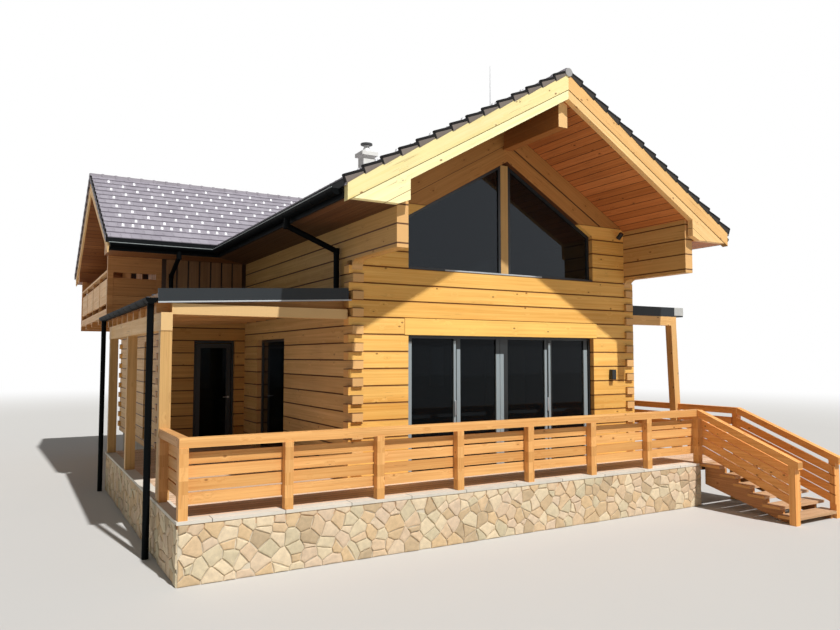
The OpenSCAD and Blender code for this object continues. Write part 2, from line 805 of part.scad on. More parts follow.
module gable_boards() color(log_colour) {
  top = wing_top(0) - roof_t;
  inner = half_w - log_t;
  difference() {
    for (i = [0, 1]) translate([0, front_y + log_t, 0]) along_y(log_t + (i == 0 ? 24 : 0))
      intersection() {
        polygon([
          [0, top - i * rake_board], [inner, top - i * rake_board - rise(inner)],
          [inner, top - (i + 1) * rake_board - rise(inner)], [0, top - (i + 1) * rake_board],
          [-inner, top - (i + 1) * rake_board - rise(inner)], [-inner, top - i * rake_board - rise(inner)]
        ]);
        translate([-half_w, gable_log_z]) square([wing_w, top]);
      }
    box([-purlin_w / 2, front_y - 100, top - purlin_d], [purlin_w / 2, front_y + log_t + 1, top + 1]);
  }
}

module gable_post() color(beam_colour) {
  box([-80, front_y + recess, sill_z],
    [80, front_y + log_t, wing_top(0) - roof_t - 2 * rake_board - rise(80)]);
}

// Bargeboards at the front gable: the upper board stands proud of the lower one.
module front_bargeboards() color(beam_colour) {
  box_end = half_w - log_t + barge_foot;
  groove_x = wing_half - (box_h < upper_board ? (upper_board - box_h) / tan(pitch) : 0);
  translate([0, verge_y, 0]) along_y(board_t) {
    for (s = [-1, 1]) scale([s, 1]) polygon([
      [0, wing_top(0) - upper_board], [groove_x, wing_top(groove_x) - upper_board], [groove_x - eps, box_z],
      [half_w + barge_foot, box_z], [box_end, box_z + barge_slant],
      [box_end, wing_top(box_end) - roof_t], [0, wing_top(0) - roof_t]
    ]);
  }
  translate([0, verge_y, 0]) along_y(board_t * 2) polygon([
    [0, wing_top(0)], [wing_half, eave_z], [wing_half, eave_z - upper_board],
    [0, wing_top(0) - upper_board],
    [-wing_half, eave_z - upper_board], [-wing_half, eave_z]
  ]);
}

module main_bargeboards() color(beam_colour)
  for (s = [-1, 1]) mirror([s < 0 ? 1 : 0, 0, 0]) translate([verge_x, 0, 0]) along_x(board_t) polygon([
    [0, main_top(0)], [main_half, eave_z], [main_half, eave_z - upper_board], [0, main_top(0) - roof_t],
    [-main_half, eave_z - upper_board], [-main_half, eave_z]
  ]);

// Roofs

// The cross-section of a roof with its boxed eaves, for half a span, a wall's face and a pitch.
module roof_section(half, wall, angle) {
  ridge = eave_z + half * tan(angle);
  inner = ridge - wall * tan(angle) - roof_t;
  polygon([
    [0, ridge], [half, eave_z], [half, box_z], [wall, box_z], [wall, inner], [0, ridge - roof_t],
    [-wall, inner], [-wall, box_z], [-half, box_z], [-half, eave_z]
  ]);
}

// The plan area where the roof of the front wing lies, up to the valleys.
module wing_area() {
  far = -main_half - 500 * steepness;
  linear_extrude(eave_z * 3) polygon([
    [-wing_half - 500, verge_y - 500], [wing_half + 500, verge_y - 500],
    [wing_half + 500, far], [valley_x, valley_y], [-valley_x, valley_y], [-wing_half - 500, far]
  ]);
}

module front_roof() color(soffit_colour) intersection() {
  along_y(-verge_y) roof_section(wing_half, half_w, pitch);
  wing_area();
}

module main_roof() color(soffit_colour) difference() {
  translate([-verge_x, 0, 0]) along_x(2 * verge_x) roof_section(main_half, half_d, main_pitch);
  wing_area();
}

// Courses of tiles on a slope, and the run of one course.
function tile_courses(half, angle) = round((half + tile_out) / cos(angle) / tile_gauge);
function tile_step(half, angle) = (half + tile_out) / tile_courses(half, angle);

// The tile covering of a roof as a saw-toothed section: each course lies on the one below it.
module tile_section(half, angle) {
  count = tile_courses(half, angle);
  step = tile_step(half, angle);
  function deck(u) = eave_z + (half - u) * tan(angle);
  side = [for (i = [0:count - 1]) each [
    [(i * step), deck(i * step) + tile_head / cos(angle)],
    [(i + 1) * step, deck((i + 1) * step) + tile_butt / cos(angle)]
  ]];
  polygon(concat(
    [for (p = side) p],
    [for (i = [1, 0, -1]) [i * count * step, deck(abs(i) * count * step) + seat]],
    [for (i = [len(side) - 1:-1:1]) [-side[i][0], side[i][1]]]
  ));
}

module front_tiles() color(tile_colour) difference() {
  intersection() {
    along_y(-verge_y + board_t * 2 + tile_out) tile_section(wing_half, pitch);
    wing_area();
  }
  chimney_shaft(seat, main_top(0) * 2);
}

module main_tiles() color(tile_colour) difference() {
  end_x = verge_x + board_t + tile_out;
  translate([-end_x, 0, 0]) along_x(2 * end_x) tile_section(main_half, main_pitch);
  wing_area();
}

// Height of the tiles' upper side near the ridge, at a distance from it across the roof.
function tile_top(half, angle, u) = eave_z + (half - u) * tan(angle)
  + (tile_head + (tile_butt - tile_head) * u / tile_step(half, angle)) / cos(angle);

// The cross-section of a ridge cap: an arch that lies on the tiles.
module cap_section(half, angle, r) {
  edge = tile_top(half, angle, r) + seat;
  middle = tile_top(half, angle, 0);
  polygon(concat(
    [for (a = [180:-20:0]) [r * cos(a), edge + cap_edge + (middle + cap_rise - edge - cap_edge) * sin(a)]],
    [[r, edge], [0, middle + seat], [-r, edge]]
  ));
}

// A row of ridge caps along +X, every second one a little smaller.
module cap_row(half, angle, length) {
  count = ceil(length / cap_l);
  step = length / count;
  for (i = [0:count - 1]) translate([i * step, 0, 0])
    along_x(step + (i < count - 1 ? 1 : 0)) cap_section(half, angle, cap_r - (i % 2) * 8);
}

// The main ridge's caps stop on both sides of the wing's ridge, and the wing's caps run out past its end.
module ridge_caps() color(tile_colour) {
  end_x = verge_x + board_t + tile_out;
  end_y = -verge_y + board_t * 2 + tile_out;
  first_x = valley_x + cap_r * max(1, 1 / steepness) + 10;
  for (s = [-1, 1]) mirror([s < 0 ? 1 : 0, 0, 0])
    translate([first_x, 0, 0]) cap_row(main_half, main_pitch, end_x - first_x);
  translate([0, -end_y, 0]) rotate(90) cap_row(wing_half, pitch, end_y + valley_y + 30);
}

// Chimney

module chimney_shaft(gap, top) {
  w = chimney_w / 2 + gap;
  box([chimney_x - w, -chimney_y - w, eave_z], [chimney_x + w, -chimney_y + w, top]);
}

chimney_top = main_top(0) + chimney_h;
chimney_cap = 100;

module chimney() color(render_colour) {
  w = chimney_w / 2 + 65;
  difference() {
    chimney_shaft(0, chimney_top);
    along_y(-verge_y) polygon([
      [-wing_half, 0], [wing_half, 0], [wing_half, eave_z], [0, wing_top(0)], [-wing_half, eave_z]
    ]);
  }
  box([chimney_x - w, -chimney_y - w, chimney_top - eps],
    [chimney_x + w, -chimney_y + w, chimney_top + chimney_cap]);
}

module chimney_flue() color("silver") translate([chimney_x, -chimney_y, chimney_top + chimney_cap]) {
  cylinder(r = 130, h = 25);
  translate([0, 0, 25 - eps]) cylinder(r1 = 120, r2 = 62, h = 175);
  translate([0, 0, 200 - eps * 2]) cylinder(r1 = 62, r2 = 158, h = 20);
  translate([0, 0, 220 - eps * 3]) cylinder(r = 158, h = 35);
}

// Metal fascia along the eaves, from the underside of the boxed eaves up to the roof deck
module fascia_strip(length) translate([0, 0, box_z])
  cube([length, fascia_t - seat, box_h - fascia_t * tan(max(pitch, main_pitch)) - seat]);
module eaves_fascia() color(metal_colour) {
  for (s = [-1, 1]) mirror([s < 0 ? 1 : 0, 0, 0]) {
    translate([wing_half + fascia_t, verge_y, 0]) rotate(90) fascia_strip(-verge_y - main_half - seat);
    translate([wing_half + seat, -main_half - fascia_t, 0]) fascia_strip(verge_x - wing_half - seat);
  }
  translate([-verge_x, main_half + seat, 0]) fascia_strip(2 * verge_x);
}

// Gutters and downpipes

gutter_z = eave_z - 45;
gutter_out = gutter_r + fascia_t + seat;
porch_gutter_z = porch_fascia_z + 60;
porch_gutter_x = porch_x - porch_eave - gutter_r - seat;

// A half-round gutter along X with closed ends.
module gutter_x(x0, x1, y) translate([x0, y, gutter_z]) difference() {
  along_x(x1 - x0) difference() {
    circle(gutter_r);
    translate([-gutter_r - 1, 0]) square([2 * gutter_r + 2, gutter_r + 1]);
  }
  translate([4, 0, 0]) along_x(x1 - x0 - 8) circle(gutter_r - 5);
}

module gutters() color(metal_colour) {
  out = gutter_out;
  for (s = [-1, 1]) mirror([s < 0 ? 1 : 0, 0, 0]) {
    translate([wing_half + out, 0, 0]) rotate(-90) gutter_x(main_half + out + gutter_r + seat, -verge_y, 0);
    gutter_x(wing_half + fascia_t + seat, verge_x, -main_half - out);
  }
  gutter_x(-verge_x, verge_x, main_half + out);
  translate([porch_gutter_x, 0, porch_gutter_z - gutter_z])
    rotate(-90) gutter_x(-porch_back_y, -front_y, 0);
}

// A round pipe through a list of points.
module pipe(points) {
  for (i = [0:len(points) - 2]) {
    d = points[i + 1] - points[i];
    translate(points[i]) rotate([0, acos(d[2] / norm(d)), atan2(d[1], d[0])])
      cylinder(r = pipe_r, h = norm(d));
    if (i > 0) translate(points[i] - [0, 0, pipe_r]) cylinder(r = pipe_r + elbow, h = 2 * pipe_r);
  }
}

// A downpipe at a place along a gutter that runs along X at y = 0: back to a wall, and down to a foot.
module downpipe(back, z, foot) {
  bend_z = box_z - pipe_r - 15;
  difference() {
    top = [0, 0, z - gutter_r + 20];
    if (back > 0) pipe([top, [0, 0, bend_z], [0, back, bend_z - back * 0.4], [0, back, foot]]);
    else pipe([top, [0, 0, foot]]);
    translate([-2 * pipe_r, 0, z]) along_x(4 * pipe_r) circle(gutter_r + seat);
  }
}

module downpipes() color(metal_colour) {
  out = gutter_out;
  back = eave_out + out - pipe_r - pipe_gap;
  for (s = [-1, 1]) {
    foot = s < 0 ? porch_fascia_z + porch_rise + porch_t : canopy_z + fascia_h;
    translate([s * (wing_half + out), front_y + pipe_back, 0])
      rotate(s * 90) downpipe(back, gutter_z, foot + seat);
    translate([s * (half_l - 300), main_half + out, 0]) rotate(180) downpipe(back, gutter_z, seat);
  }
  x = -half_l + 120 + lap;
  porch_top = porch_fascia_z + porch_t + (x - porch_x + porch_eave) * porch_rise / porch_w;
  translate([x, -main_half - out, 0]) downpipe(back - lap, gutter_z, porch_top + 5);
  for (y = [front_y + 90, porch_back_y - 160])
    translate([porch_gutter_x, y, 0]) rotate(-90) downpipe(0, porch_gutter_z, seat);
}

// Windows and doors

// A rectangular frame in X and Z, or its glass.
module pane(x0, x1, z0, z1, y, glass) {
  if (glass)
    box([x0 + frame_w + seat, y + (frame_d - glass_t) / 2, z0 + frame_w + seat],
      [x1 - frame_w - seat, y + (frame_d + glass_t) / 2, z1 - frame_w - seat]);
  else
    difference() {
      box([x0, y, z0], [x1, y + frame_d, z1]);
      box([x0 + frame_w, y - 1, z0 + frame_w], [x1 - frame_w, y + frame_d + 1, z1 - frame_w]);
    }
}

// The four leaves of the front glazing.
leaves = 4;
module glazing(glass) {
  leaf_w = (glazing_w - 2 * seat) / leaves;
  for (i = [0:leaves - 1]) {
    x0 = -glazing_w / 2 + seat + i * leaf_w;
    pane(x0, x0 + leaf_w, deck_z, deck_z + door_h - seat, front_y + recess, glass);
  }
}

module front_glazing_frame() color(metal_colour) glazing(false);

// The gable window: a frame round each of its two panes, left and right of the post.
module gable_window(glass) translate([0, front_y + recess + (glass ? (frame_d + glass_t) / 2 : frame_d), 0])
  along_y(glass ? glass_t : frame_d) for (s = [-1, 1]) intersection() {
    difference() {
      gable_window_outline(glass ? frame_w + seat : seat);
      if (!glass) intersection() {
        gable_window_outline(frame_w);
        translate([s > 0 ? 80 + frame_w : -glazing_w, 0]) square([glazing_w - 80 - frame_w, eave_z * 2]);
      }
    }
    translate([s > 0 ? 80 + (glass ? frame_w + seat : seat) : -glazing_w, 0])
      square([glazing_w - 80 - (glass ? frame_w + seat : seat), eave_z * 2]);
  }

module gable_window_frame() color(metal_colour) gable_window(false);

// Every other window, as frames or as glass.
module other_windows(glass) {
  for (s = [-1, 1]) mirror([s > 0 ? 1 : 0, 0, 0]) {
    translate([-half_w, 0, 0]) rotate(-90)
      pane(half_d + side_window_y, half_d + side_window_y + side_window_w, deck_z, deck_z + door_h,
        recess, glass);
    translate([-half_l, 0, 0]) rotate(-90) {
      for (w = end_windows)
        pane(-w[0] - w[1] / 2, -w[0] + w[1] / 2, deck_z + w[2], deck_z + door_h, recess, glass);
      for (w = gable_openings)
        pane(-w[0] - w[1] / 2, -w[0] + w[1] / 2, storey_z + w[2], storey_z + w[2] + w[3], recess, glass);
    }
  }
  for (w = rear_windows) rotate(180)
    pane(-w[0] - w[1] / 2, -w[0] + w[1] / 2, deck_z + w[2], deck_z + door_h, -half_d + recess, glass);
  pane(east_window[0], east_window[1], deck_z + east_window[2], deck_z + door_h, -half_d + recess, glass);
}

module window_frames() color(metal_colour) other_windows(false);

module window_glass() color(glass_colour) {
  glazing(true);
  gable_window(true);
  other_windows(true);
}

// Porch door, hinged at its left and opening inwards

door_y = -half_d + recess;
leaf_x0 = door_x0 + frame_w + door_gap;
leaf_x1 = door_x1 - frame_w - door_gap;
leaf_z0 = deck_z + door_gap;
leaf_z1 = deck_z + door_h - frame_w - door_gap;
leaf_y = door_y + frame_d - leaf_t;
hinge_r = 11;
hinge_h = 110;
hinge_x = leaf_x0 - door_gap / 2;
hinge_y = door_y + frame_d + hinge_r + 1;
hinge_z = [leaf_z0 + 200, leaf_z0 + 1000, leaf_z1 - 200 - hinge_h];

module door_frame() color(metal_colour) {
  difference() {
    box([door_x0, door_y, deck_z], [door_x1, door_y + frame_d, deck_z + door_h]);
    box([door_x0 + frame_w, door_y - 1, deck_z - 1],
      [door_x1 - frame_w, door_y + frame_d + 1, deck_z + door_h - frame_w]);
  }
  // Hinge pins, each held at both ends by a plate on the frame
  for (z = hinge_z) {
    translate([hinge_x, hinge_y, z]) cylinder(r = hinge_r / 2, h = hinge_h);
    for (dz = [0, hinge_h - 25]) translate([hinge_x, hinge_y, z + dz]) {
      cylinder(r = hinge_r, h = 25);
      translate([-40, -hinge_r - 1 - eps, 0]) cube([40, 6, 25]);
    }
  }
}

module door_leaf() color(metal_colour) {
  difference() {
    box([leaf_x0, leaf_y, leaf_z0], [leaf_x1, leaf_y + leaf_t, leaf_z1]);
    box([leaf_x0 + stile_w, leaf_y - 1, leaf_z0 + stile_w],
      [leaf_x1 - stile_w, leaf_y + leaf_t + 1, leaf_z1 - stile_w]);
  }
  // Hinge knuckles that turn on the pins
  for (z = hinge_z) translate([hinge_x, hinge_y, z + 26]) difference() {
    union() {
      cylinder(r = hinge_r, h = hinge_h - 52);
      translate([0, -hinge_r - 1 - eps, 0]) cube([40, 6, hinge_h - 52]);
    }
    translate([0, 0, -1]) cylinder(r = hinge_r / 2 + 0.1, h = hinge_h);
  }
}

module door_glass() color(glass_colour) translate([0, leaf_y, 0])
  box([leaf_x0 + stile_w + seat, (leaf_t - glass_t) / 2, leaf_z0 + stile_w + seat],
    [leaf_x1 - stile_w - seat, (leaf_t + glass_t) / 2, leaf_z1 - stile_w - seat]);

module door_handle() color("silver") for (s = [0, 1])
  translate([leaf_x1 - stile_w / 2, leaf_y + leaf_t / 2, deck_z + 1020]) mirror([0, s, 0])
    translate([0, leaf_t / 2 + seat, 0]) {
      rotate([-90, 0, 0]) cylinder(r = 22, h = 8);
      rotate([-90, 0, 0]) cylinder(r = 9, h = 50);
      translate([9, 45, 0]) rotate([0, -90, 0]) cylinder(r = 9, h = 130);
    }

foundation();
terrace_base();
terrace_coping();
terrace_deck();
deck_posts();
stair_treads();
stair_stringers();
front_railing();
left_railing();
right_railing();
stair_railings();
ground_floor();
front_wall();
front_lintel();
left_wall();
right_wall();
porch_wall_left();
porch_wall_right();
porch_wall_over_door();
east_wall_front();
main_left_wall();
main_right_wall();
main_rear_wall();
upper_floor();
knee_walls();
left_gable_wall();
right_gable_wall();
porch_posts();
porch_beams();
porch_rafters();
porch_roof();
porch_fascia();
canopy_roof();
canopy_post();
balcony_floor();
balcony_side_panels();
balcony_front_rail();
gable_boards();
gable_post();
ridge_purlin();
front_bargeboards();
main_bargeboards();
front_roof();
main_roof();
front_tiles();
main_tiles();
ridge_caps();
chimney();
chimney_flue();
eaves_fascia();
gutters();
downpipes();
front_glazing_frame();
gable_window_frame();
window_frames();
window_glass();
door_frame();
door_leaf();
door_glass();
door_handle();
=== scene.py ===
"""Looks of an alpine chalet of squared logs, dressed over its solids in one shared frame."""
import logging
import math
import random
from dataclasses import dataclass, field
from enum import Enum
from typing import Any, Callable, Dict, List, Optional, Sequence, Tuple

import bpy
import numpy as np
from mathutils import Matrix, Vector


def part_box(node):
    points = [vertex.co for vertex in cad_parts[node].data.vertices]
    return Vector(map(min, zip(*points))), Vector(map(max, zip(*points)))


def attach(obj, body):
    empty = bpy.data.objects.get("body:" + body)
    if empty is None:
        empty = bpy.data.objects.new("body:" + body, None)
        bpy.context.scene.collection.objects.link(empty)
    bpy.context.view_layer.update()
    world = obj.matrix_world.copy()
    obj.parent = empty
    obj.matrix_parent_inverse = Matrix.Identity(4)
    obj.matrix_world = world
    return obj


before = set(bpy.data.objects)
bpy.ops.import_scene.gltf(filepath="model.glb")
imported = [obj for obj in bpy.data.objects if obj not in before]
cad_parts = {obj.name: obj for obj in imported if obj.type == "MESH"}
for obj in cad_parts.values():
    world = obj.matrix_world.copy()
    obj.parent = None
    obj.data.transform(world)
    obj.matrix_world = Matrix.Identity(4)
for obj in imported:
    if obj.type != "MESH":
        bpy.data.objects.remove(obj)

logging.basicConfig(level=logging.INFO, format="%(name)s: %(message)s")
log = logging.getLogger("chalet")

Vec = Tuple[float, float, float]
HOUSE = "house"
# Pitch of the front wing's roof and of the main roof, in degrees
WING_PITCH = 30.0
MAIN_PITCH = 28.5
# Height of the roof deck's edge at the eaves, half the span of both roofs, and their upright thickness
EAVE = 4.89
HALF_ROOF = 3.8
ROOF_THICK = 0.36
# Face of the front wall
FRONT = -8.7
# Fall of the porch roof over its width
PORCH_FALL = 0.14
PORCH_WIDE = 2.83
# Height of one course of logs, and where the first full one starts
COURSE = 0.268
FIRST_COURSE = 0.593
# Pitch of the railings' slats, where the first one starts, and the underside of the top rail
SLAT_PITCH = 0.157
FIRST_SLAT = 0.892
UNDER_RAIL = 1.5849
# Pitch of the upper storey's boards, and width of a deck or soffit board
CLAD_PITCH = 0.236
NARROW_BOARD = 0.14


# Colours and shader nodes

def linear(code: str) -> Tuple[float, float, float, float]:
    """Turn an sRGB hex code into a linear colour.

    Args:
        code: Hex digits with a leading hash.

    Returns:
        Red, green, blue and alpha.
    """
    parts = [int(code[i:i + 2], 16) / 255 for i in (1, 3, 5)]
    red, green, blue = [p / 12.92 if p <= 0.04045 else ((p + 0.055) / 1.055) ** 2.4 for p in parts]
    return red, green, blue, 1.0


def feed(tree: bpy.types.NodeTree, node: bpy.types.Node, ins: Dict[Any, Any]) -> None:
    """Link or set a node's inputs.

    Args:
        tree: The material's tree.
        node: The node.
        ins: Input names or places, each with a socket to link or a value to set.
    """
    for key, value in ins.items():
        if isinstance(value, bpy.types.NodeSocket):
            tree.links.new(value, node.inputs[key])
        else:
            node.inputs[key].default_value = value


def add(tree: bpy.types.NodeTree, kind: str, ins: Optional[Dict[Any, Any]] = None,
        stops: Sequence[Tuple[float, Any]] = (), **settings: Any) -> bpy.types.Node:
    """Add a node with its settings and links.

    Args:
        tree: The material's tree.
        kind: The node's kind, without its ShaderNode prefix.
        ins: Input names or places, each with a socket to link or a value to set.
        stops: Places and colours of a colour ramp.
        settings: The node's own properties.

    Returns:
        The new node.
    """
    made = tree.nodes.new("ShaderNode" + kind)
    for name, value in settings.items():
        setattr(made, name, value)
    for place, (position, colour) in enumerate(stops):
        elements = made.color_ramp.elements
        stop = elements[place] if place < len(elements) else elements.new(position)
        stop.position = position
        stop.color = colour if not isinstance(colour, (int, float)) else (colour, colour, colour, 1.0)
    feed(tree, made, ins or {})
    return made


class Grain(Enum):
    """The way that the grain of a timber runs."""
    X = "x"
    Y = "y"
    Z = "z"
    RAKE_X = "rake_x"
    RAKE_Y = "rake_y"


@dataclass(frozen=True)
class Finish:
    """A finish, named for its real material and how its surface was made."""
    name: str

    def material(self) -> bpy.types.Material:
        """Give this finish's material, made once.

        Returns:
            The material.
        """
        found = bpy.data.materials.get(self.name)
        if found:
            return found
        made = bpy.data.materials.new(self.name)
        made.use_nodes = True
        tree = made.node_tree
        tree.nodes.clear()
        shader = add(tree, "BsdfPrincipled")
        add(tree, "OutputMaterial", {"Surface": shader.outputs[0]})
        self.paint(tree, shader)
        return made

    def paint(self, tree: bpy.types.NodeTree, shader: bpy.types.Node) -> None:
        """Lay the finish on a shader.

        Args:
            tree: The material's tree.
            shader: The Principled shader.
        """
        raise NotImplementedError

    def put_on(self, piece: bpy.types.Object) -> None:
        """Give a piece this finish all over."""
        if piece.material_slots:
            for slot in piece.material_slots:
                slot.material = self.material()
        else:
            piece.data.materials.append(self.material())


@dataclass(frozen=True)
class Wood(Finish):
    """Planed softwood, oiled: growth lines along the grain, knots, drying checks and darker ends.

    The eye gets long warm lines a few millimetres wide, small knots, and a tone of its own in each timber.
    Timbers are counted by their width, from the first one, along an axis or, where it is U, square to the
    rake. Right of the ridge another pair of colours can hold, painted light and shade of the same timber,
    and past its limits a timber stands upright.
    """
    grain: Grain = Grain.X
    light: str = "#F0B468"
    dark: str = "#CF8C48"
    knot: str = "#7E4A22"
    end: str = "#C88E50"
    timber: float = COURSE
    first: float = FIRST_COURSE
    across: str = "Z"
    tone: float = 0.10
    gap: float = 0.0
    gap_depth: float = 1.0
    seam: str = "#2B1C10"
    soft: float = 0.012
    right: Tuple[str, ...] = ()
    upright: Tuple[Tuple[int, str, float], ...] = ()
    rough: float = 0.52
    knots: float = 6.5
    seed: float = 0.0
    pitch: float = WING_PITCH

    def places(self, tree: bpy.types.NodeTree) -> Tuple[Any, Any, Any]:
        """Turn the place on the object into a place along and across the grain.

        Args:
            tree: The material's tree.

        Returns:
            The place along and across the grain, the parts of the plain place, and the share of end grain.
        """
        co = add(tree, "TexCoord")
        xyz = add(tree, "SeparateXYZ", {0: co.outputs["Object"]}).outputs
        facing = add(tree, "SeparateXYZ", {0: co.outputs["Normal"]}).outputs
        order = {Grain.X: (0, 1, 2), Grain.Y: (1, 0, 2), Grain.Z: (2, 0, 1)}
        if self.grain in order:
            a, b, c = order[self.grain]
            place = add(tree, "CombineXYZ", {0: xyz[a], 1: xyz[b], 2: xyz[c]}).outputs[0]
            end = add(tree, "Math", {0: facing[a]}, operation="ABSOLUTE").outputs[0]
        else:
            run = xyz[0] if self.grain is Grain.RAKE_X else xyz[1]
            other = xyz[1] if self.grain is Grain.RAKE_X else xyz[0]
            far = add(tree, "Math", {0: run}, operation="ABSOLUTE").outputs[0]
            cos, sin = math.cos(math.radians(self.pitch)), math.sin(math.radians(self.pitch))
            far_cos = add(tree, "Math", {0: far, 1: cos}, operation="MULTIPLY").outputs[0]
            along = add(tree, "Math", {0: xyz[2], 1: -sin, 2: far_cos}, operation="MULTIPLY_ADD").outputs[0]
            far_sin = add(tree, "Math", {0: far, 1: sin}, operation="MULTIPLY").outputs[0]
            over = add(tree, "Math", {0: xyz[2], 1: cos, 2: far_sin}, operation="MULTIPLY_ADD").outputs[0]
            place = add(tree, "CombineXYZ", {0: along, 1: other, 2: over}).outputs[0]
            # Sloping boards hide their ends under the tiles
            end = add(tree, "Math", {0: 0.0, 1: 0.0}, operation="ADD").outputs[0]
        share = None
        if self.upright:
            for axis, test, limit in self.upright:
                one = add(tree, "Math", {0: xyz[axis], 1: limit}, operation=test).outputs[0]
                share = one if share is None else add(tree, "Math", {0: share, 1: one},
                                                      operation="MULTIPLY").outputs[0]
            stood = add(tree, "CombineXYZ", {0: xyz[2], 1: xyz[0], 2: xyz[1]}).outputs[0]
            place = add(tree, "Mix", {0: share, 4: place, 5: stood}, data_type="VECTOR").outputs[1]
            top = add(tree, "Math", {0: facing[2]}, operation="ABSOLUTE").outputs[0]
            end = add(tree, "Mix", {0: share, 2: end, 3: top}, data_type="FLOAT").outputs[0]
        return place, xyz, end

    def joints(self, tree: bpy.types.NodeTree, step: Any, colour: Any, relief: Any) -> Tuple[Any, Any]:
        """Draw the dark joints between boards or courses.

        Args:
            tree: The material's tree.
            step: The place across the boards, counted in boards.
            colour: The colour so far.
            relief: The relief so far.

        Returns:
            The colour and the relief with the joints in them.
        """
        part = add(tree, "Math", {0: step}, operation="FRACT").outputs[0]
        part = add(tree, "Math", {0: part, 1: 0.5}, operation="SUBTRACT").outputs[0]
        part = add(tree, "Math", {0: part}, operation="ABSOLUTE").outputs[0]
        edge = 0.5 - self.gap / self.timber / 2
        joint = add(tree, "MapRange", {0: part, 1: edge - self.soft, 2: edge, 3: 0.0, 4: 1.0}).outputs[0]
        deeper = add(tree, "Math", {0: joint, 1: -6.0 * self.gap_depth, 2: relief},
                     operation="MULTIPLY_ADD").outputs[0]
        return add(tree, "Mix", {0: joint, 6: colour, 7: linear(self.seam)},
                   data_type="RGBA").outputs[2], deeper

    def checks(self, tree: bpy.types.NodeTree, place: Any, bent: Any) -> Any:
        """Draw drying checks: thin dark lines along the grain, in some stretches only.

        Args:
            tree: The material's tree.
            place: The place along and across the grain.
            bent: The same place, bent round the knots.

        Returns:
            The share of a check at each place.
        """
        ins = {"Vector": bent, "Scale": (0.5, 34.0, 34.0), "Location": (3.0, 1.0, 2.0)}
        check = add(tree, "Mapping", ins).outputs[0]
        check = add(tree, "TexNoise", {"Vector": check, "Scale": 1.0, "Detail": 1.0}).outputs["Fac"]
        check = add(tree, "Math", {0: check, 1: 0.5}, operation="SUBTRACT").outputs[0]
        check = add(tree, "Math", {0: check}, operation="ABSOLUTE").outputs[0]
        check = add(tree, "MapRange", {0: check, 1: 0.0, 2: 0.012, 3: 1.0, 4: 0.0}).outputs[0]
        some = add(tree, "TexNoise", {"Vector": place, "Scale": 1.6, "Detail": 0.0}).outputs["Fac"]
        some = add(tree, "MapRange", {0: some, 1: 0.56, 2: 0.66, 3: 0.0, 4: 0.6}).outputs[0]
        return add(tree, "Math", {0: check, 1: some}, operation="MULTIPLY").outputs[0]

    def paint(self, tree: bpy.types.NodeTree, shader: bpy.types.Node) -> None:
        """Lay growth lines, tones, knots, checks, gaps and end grain on a shader.

        Args:
            tree: The material's tree.
            shader: The Principled shader.
        """
        place, xyz, end = self.places(tree)
        if self.across == "U":
            height = add(tree, "SeparateXYZ", {0: place}).outputs[2]
        else:
            height = xyz["XYZ".index(self.across)]
        step = add(tree, "Math", {0: height, 1: self.first}, operation="SUBTRACT").outputs[0]
        step = add(tree, "Math", {0: step, 1: self.timber}, operation="DIVIDE").outputs[0]
        which = add(tree, "Math", {0: step}, operation="FLOOR").outputs[0]
        seeded = add(tree, "CombineXYZ", {0: which, 1: self.seed}).outputs[0]
        own = add(tree, "TexWhiteNoise", {"Vector": seeded}, noise_dimensions="3D")
        # Each timber is cut from another place in the tree, up to 9 m away
        shift = add(tree, "VectorMath", {0: own.outputs["Color"], "Scale": 9.0},
                    operation="SCALE").outputs[0]
        place = add(tree, "VectorMath", {0: place, 1: shift}, operation="ADD").outputs[0]
        cell = add(tree, "Mapping", {"Vector": place, "Scale": (0.6, 1.0, 1.0)}).outputs[0]
        knot = add(tree, "TexVoronoi", {"Vector": cell, "Scale": self.knots}, feature="F1")
        held = add(tree, "SeparateXYZ", {0: knot.outputs["Color"]}).outputs[0]
        held = add(tree, "Math", {0: held, 1: 0.35}, operation="GREATER_THAN").outputs[0]
        near = add(tree, "MapRange", {0: knot.outputs["Distance"], 1: 0.0, 2: 0.42, 3: 1.0, 4: 0.0},
                   interpolation_type="SMOOTHSTEP").outputs[0]
        near = add(tree, "Math", {0: near, 1: held}, operation="MULTIPLY").outputs[0]
        bend = add(tree, "VectorMath", {0: (0.0, 0.05, 0.05), "Scale": near}, operation="SCALE").outputs[0]
        bent = add(tree, "VectorMath", {0: place, 1: bend}, operation="ADD").outputs[0]
        # Growth lines about 6 mm apart, which run for metres, and broad bands of early and late wood
        fine = add(tree, "Mapping", {"Vector": bent, "Scale": (0.7, 150.0, 150.0)}).outputs[0]
        fine = add(tree, "TexNoise",
                   {"Vector": fine, "Scale": 1.0, "Detail": 2.0, "Distortion": 0.2}).outputs["Fac"]
        broad = add(tree, "Mapping", {"Vector": bent, "Scale": (0.45, 26.0, 26.0)}).outputs[0]
        broad = add(tree, "TexNoise",
                    {"Vector": broad, "Scale": 1.0, "Detail": 4.0, "Roughness": 0.6}).outputs["Fac"]
        lines = add(tree, "Mix", {0: 0.38, 2: broad, 3: fine}, data_type="FLOAT").outputs[0]
        lines = add(tree, "MapRange", {0: lines, 1: 0.30, 2: 0.70, 3: 0.0, 4: 1.0}).outputs[0]
        colour = add(tree, "Mix", {0: lines, 6: linear(self.light), 7: linear(self.dark)},
                     data_type="RGBA").outputs[2]
        if self.right:
            # Painted light and shade: right of the ridge the same timber takes another pair of colours, as
            # it is lit differently
            other = add(tree, "Mix", {0: lines, 6: linear(self.right[0]), 7: linear(self.right[1])},
                        data_type="RGBA").outputs[2]
            beyond = add(tree, "Math", {0: xyz[0], 1: 0.0}, operation="GREATER_THAN").outputs[0]
            colour = add(tree, "Mix", {0: beyond, 6: colour, 7: other}, data_type="RGBA").outputs[2]
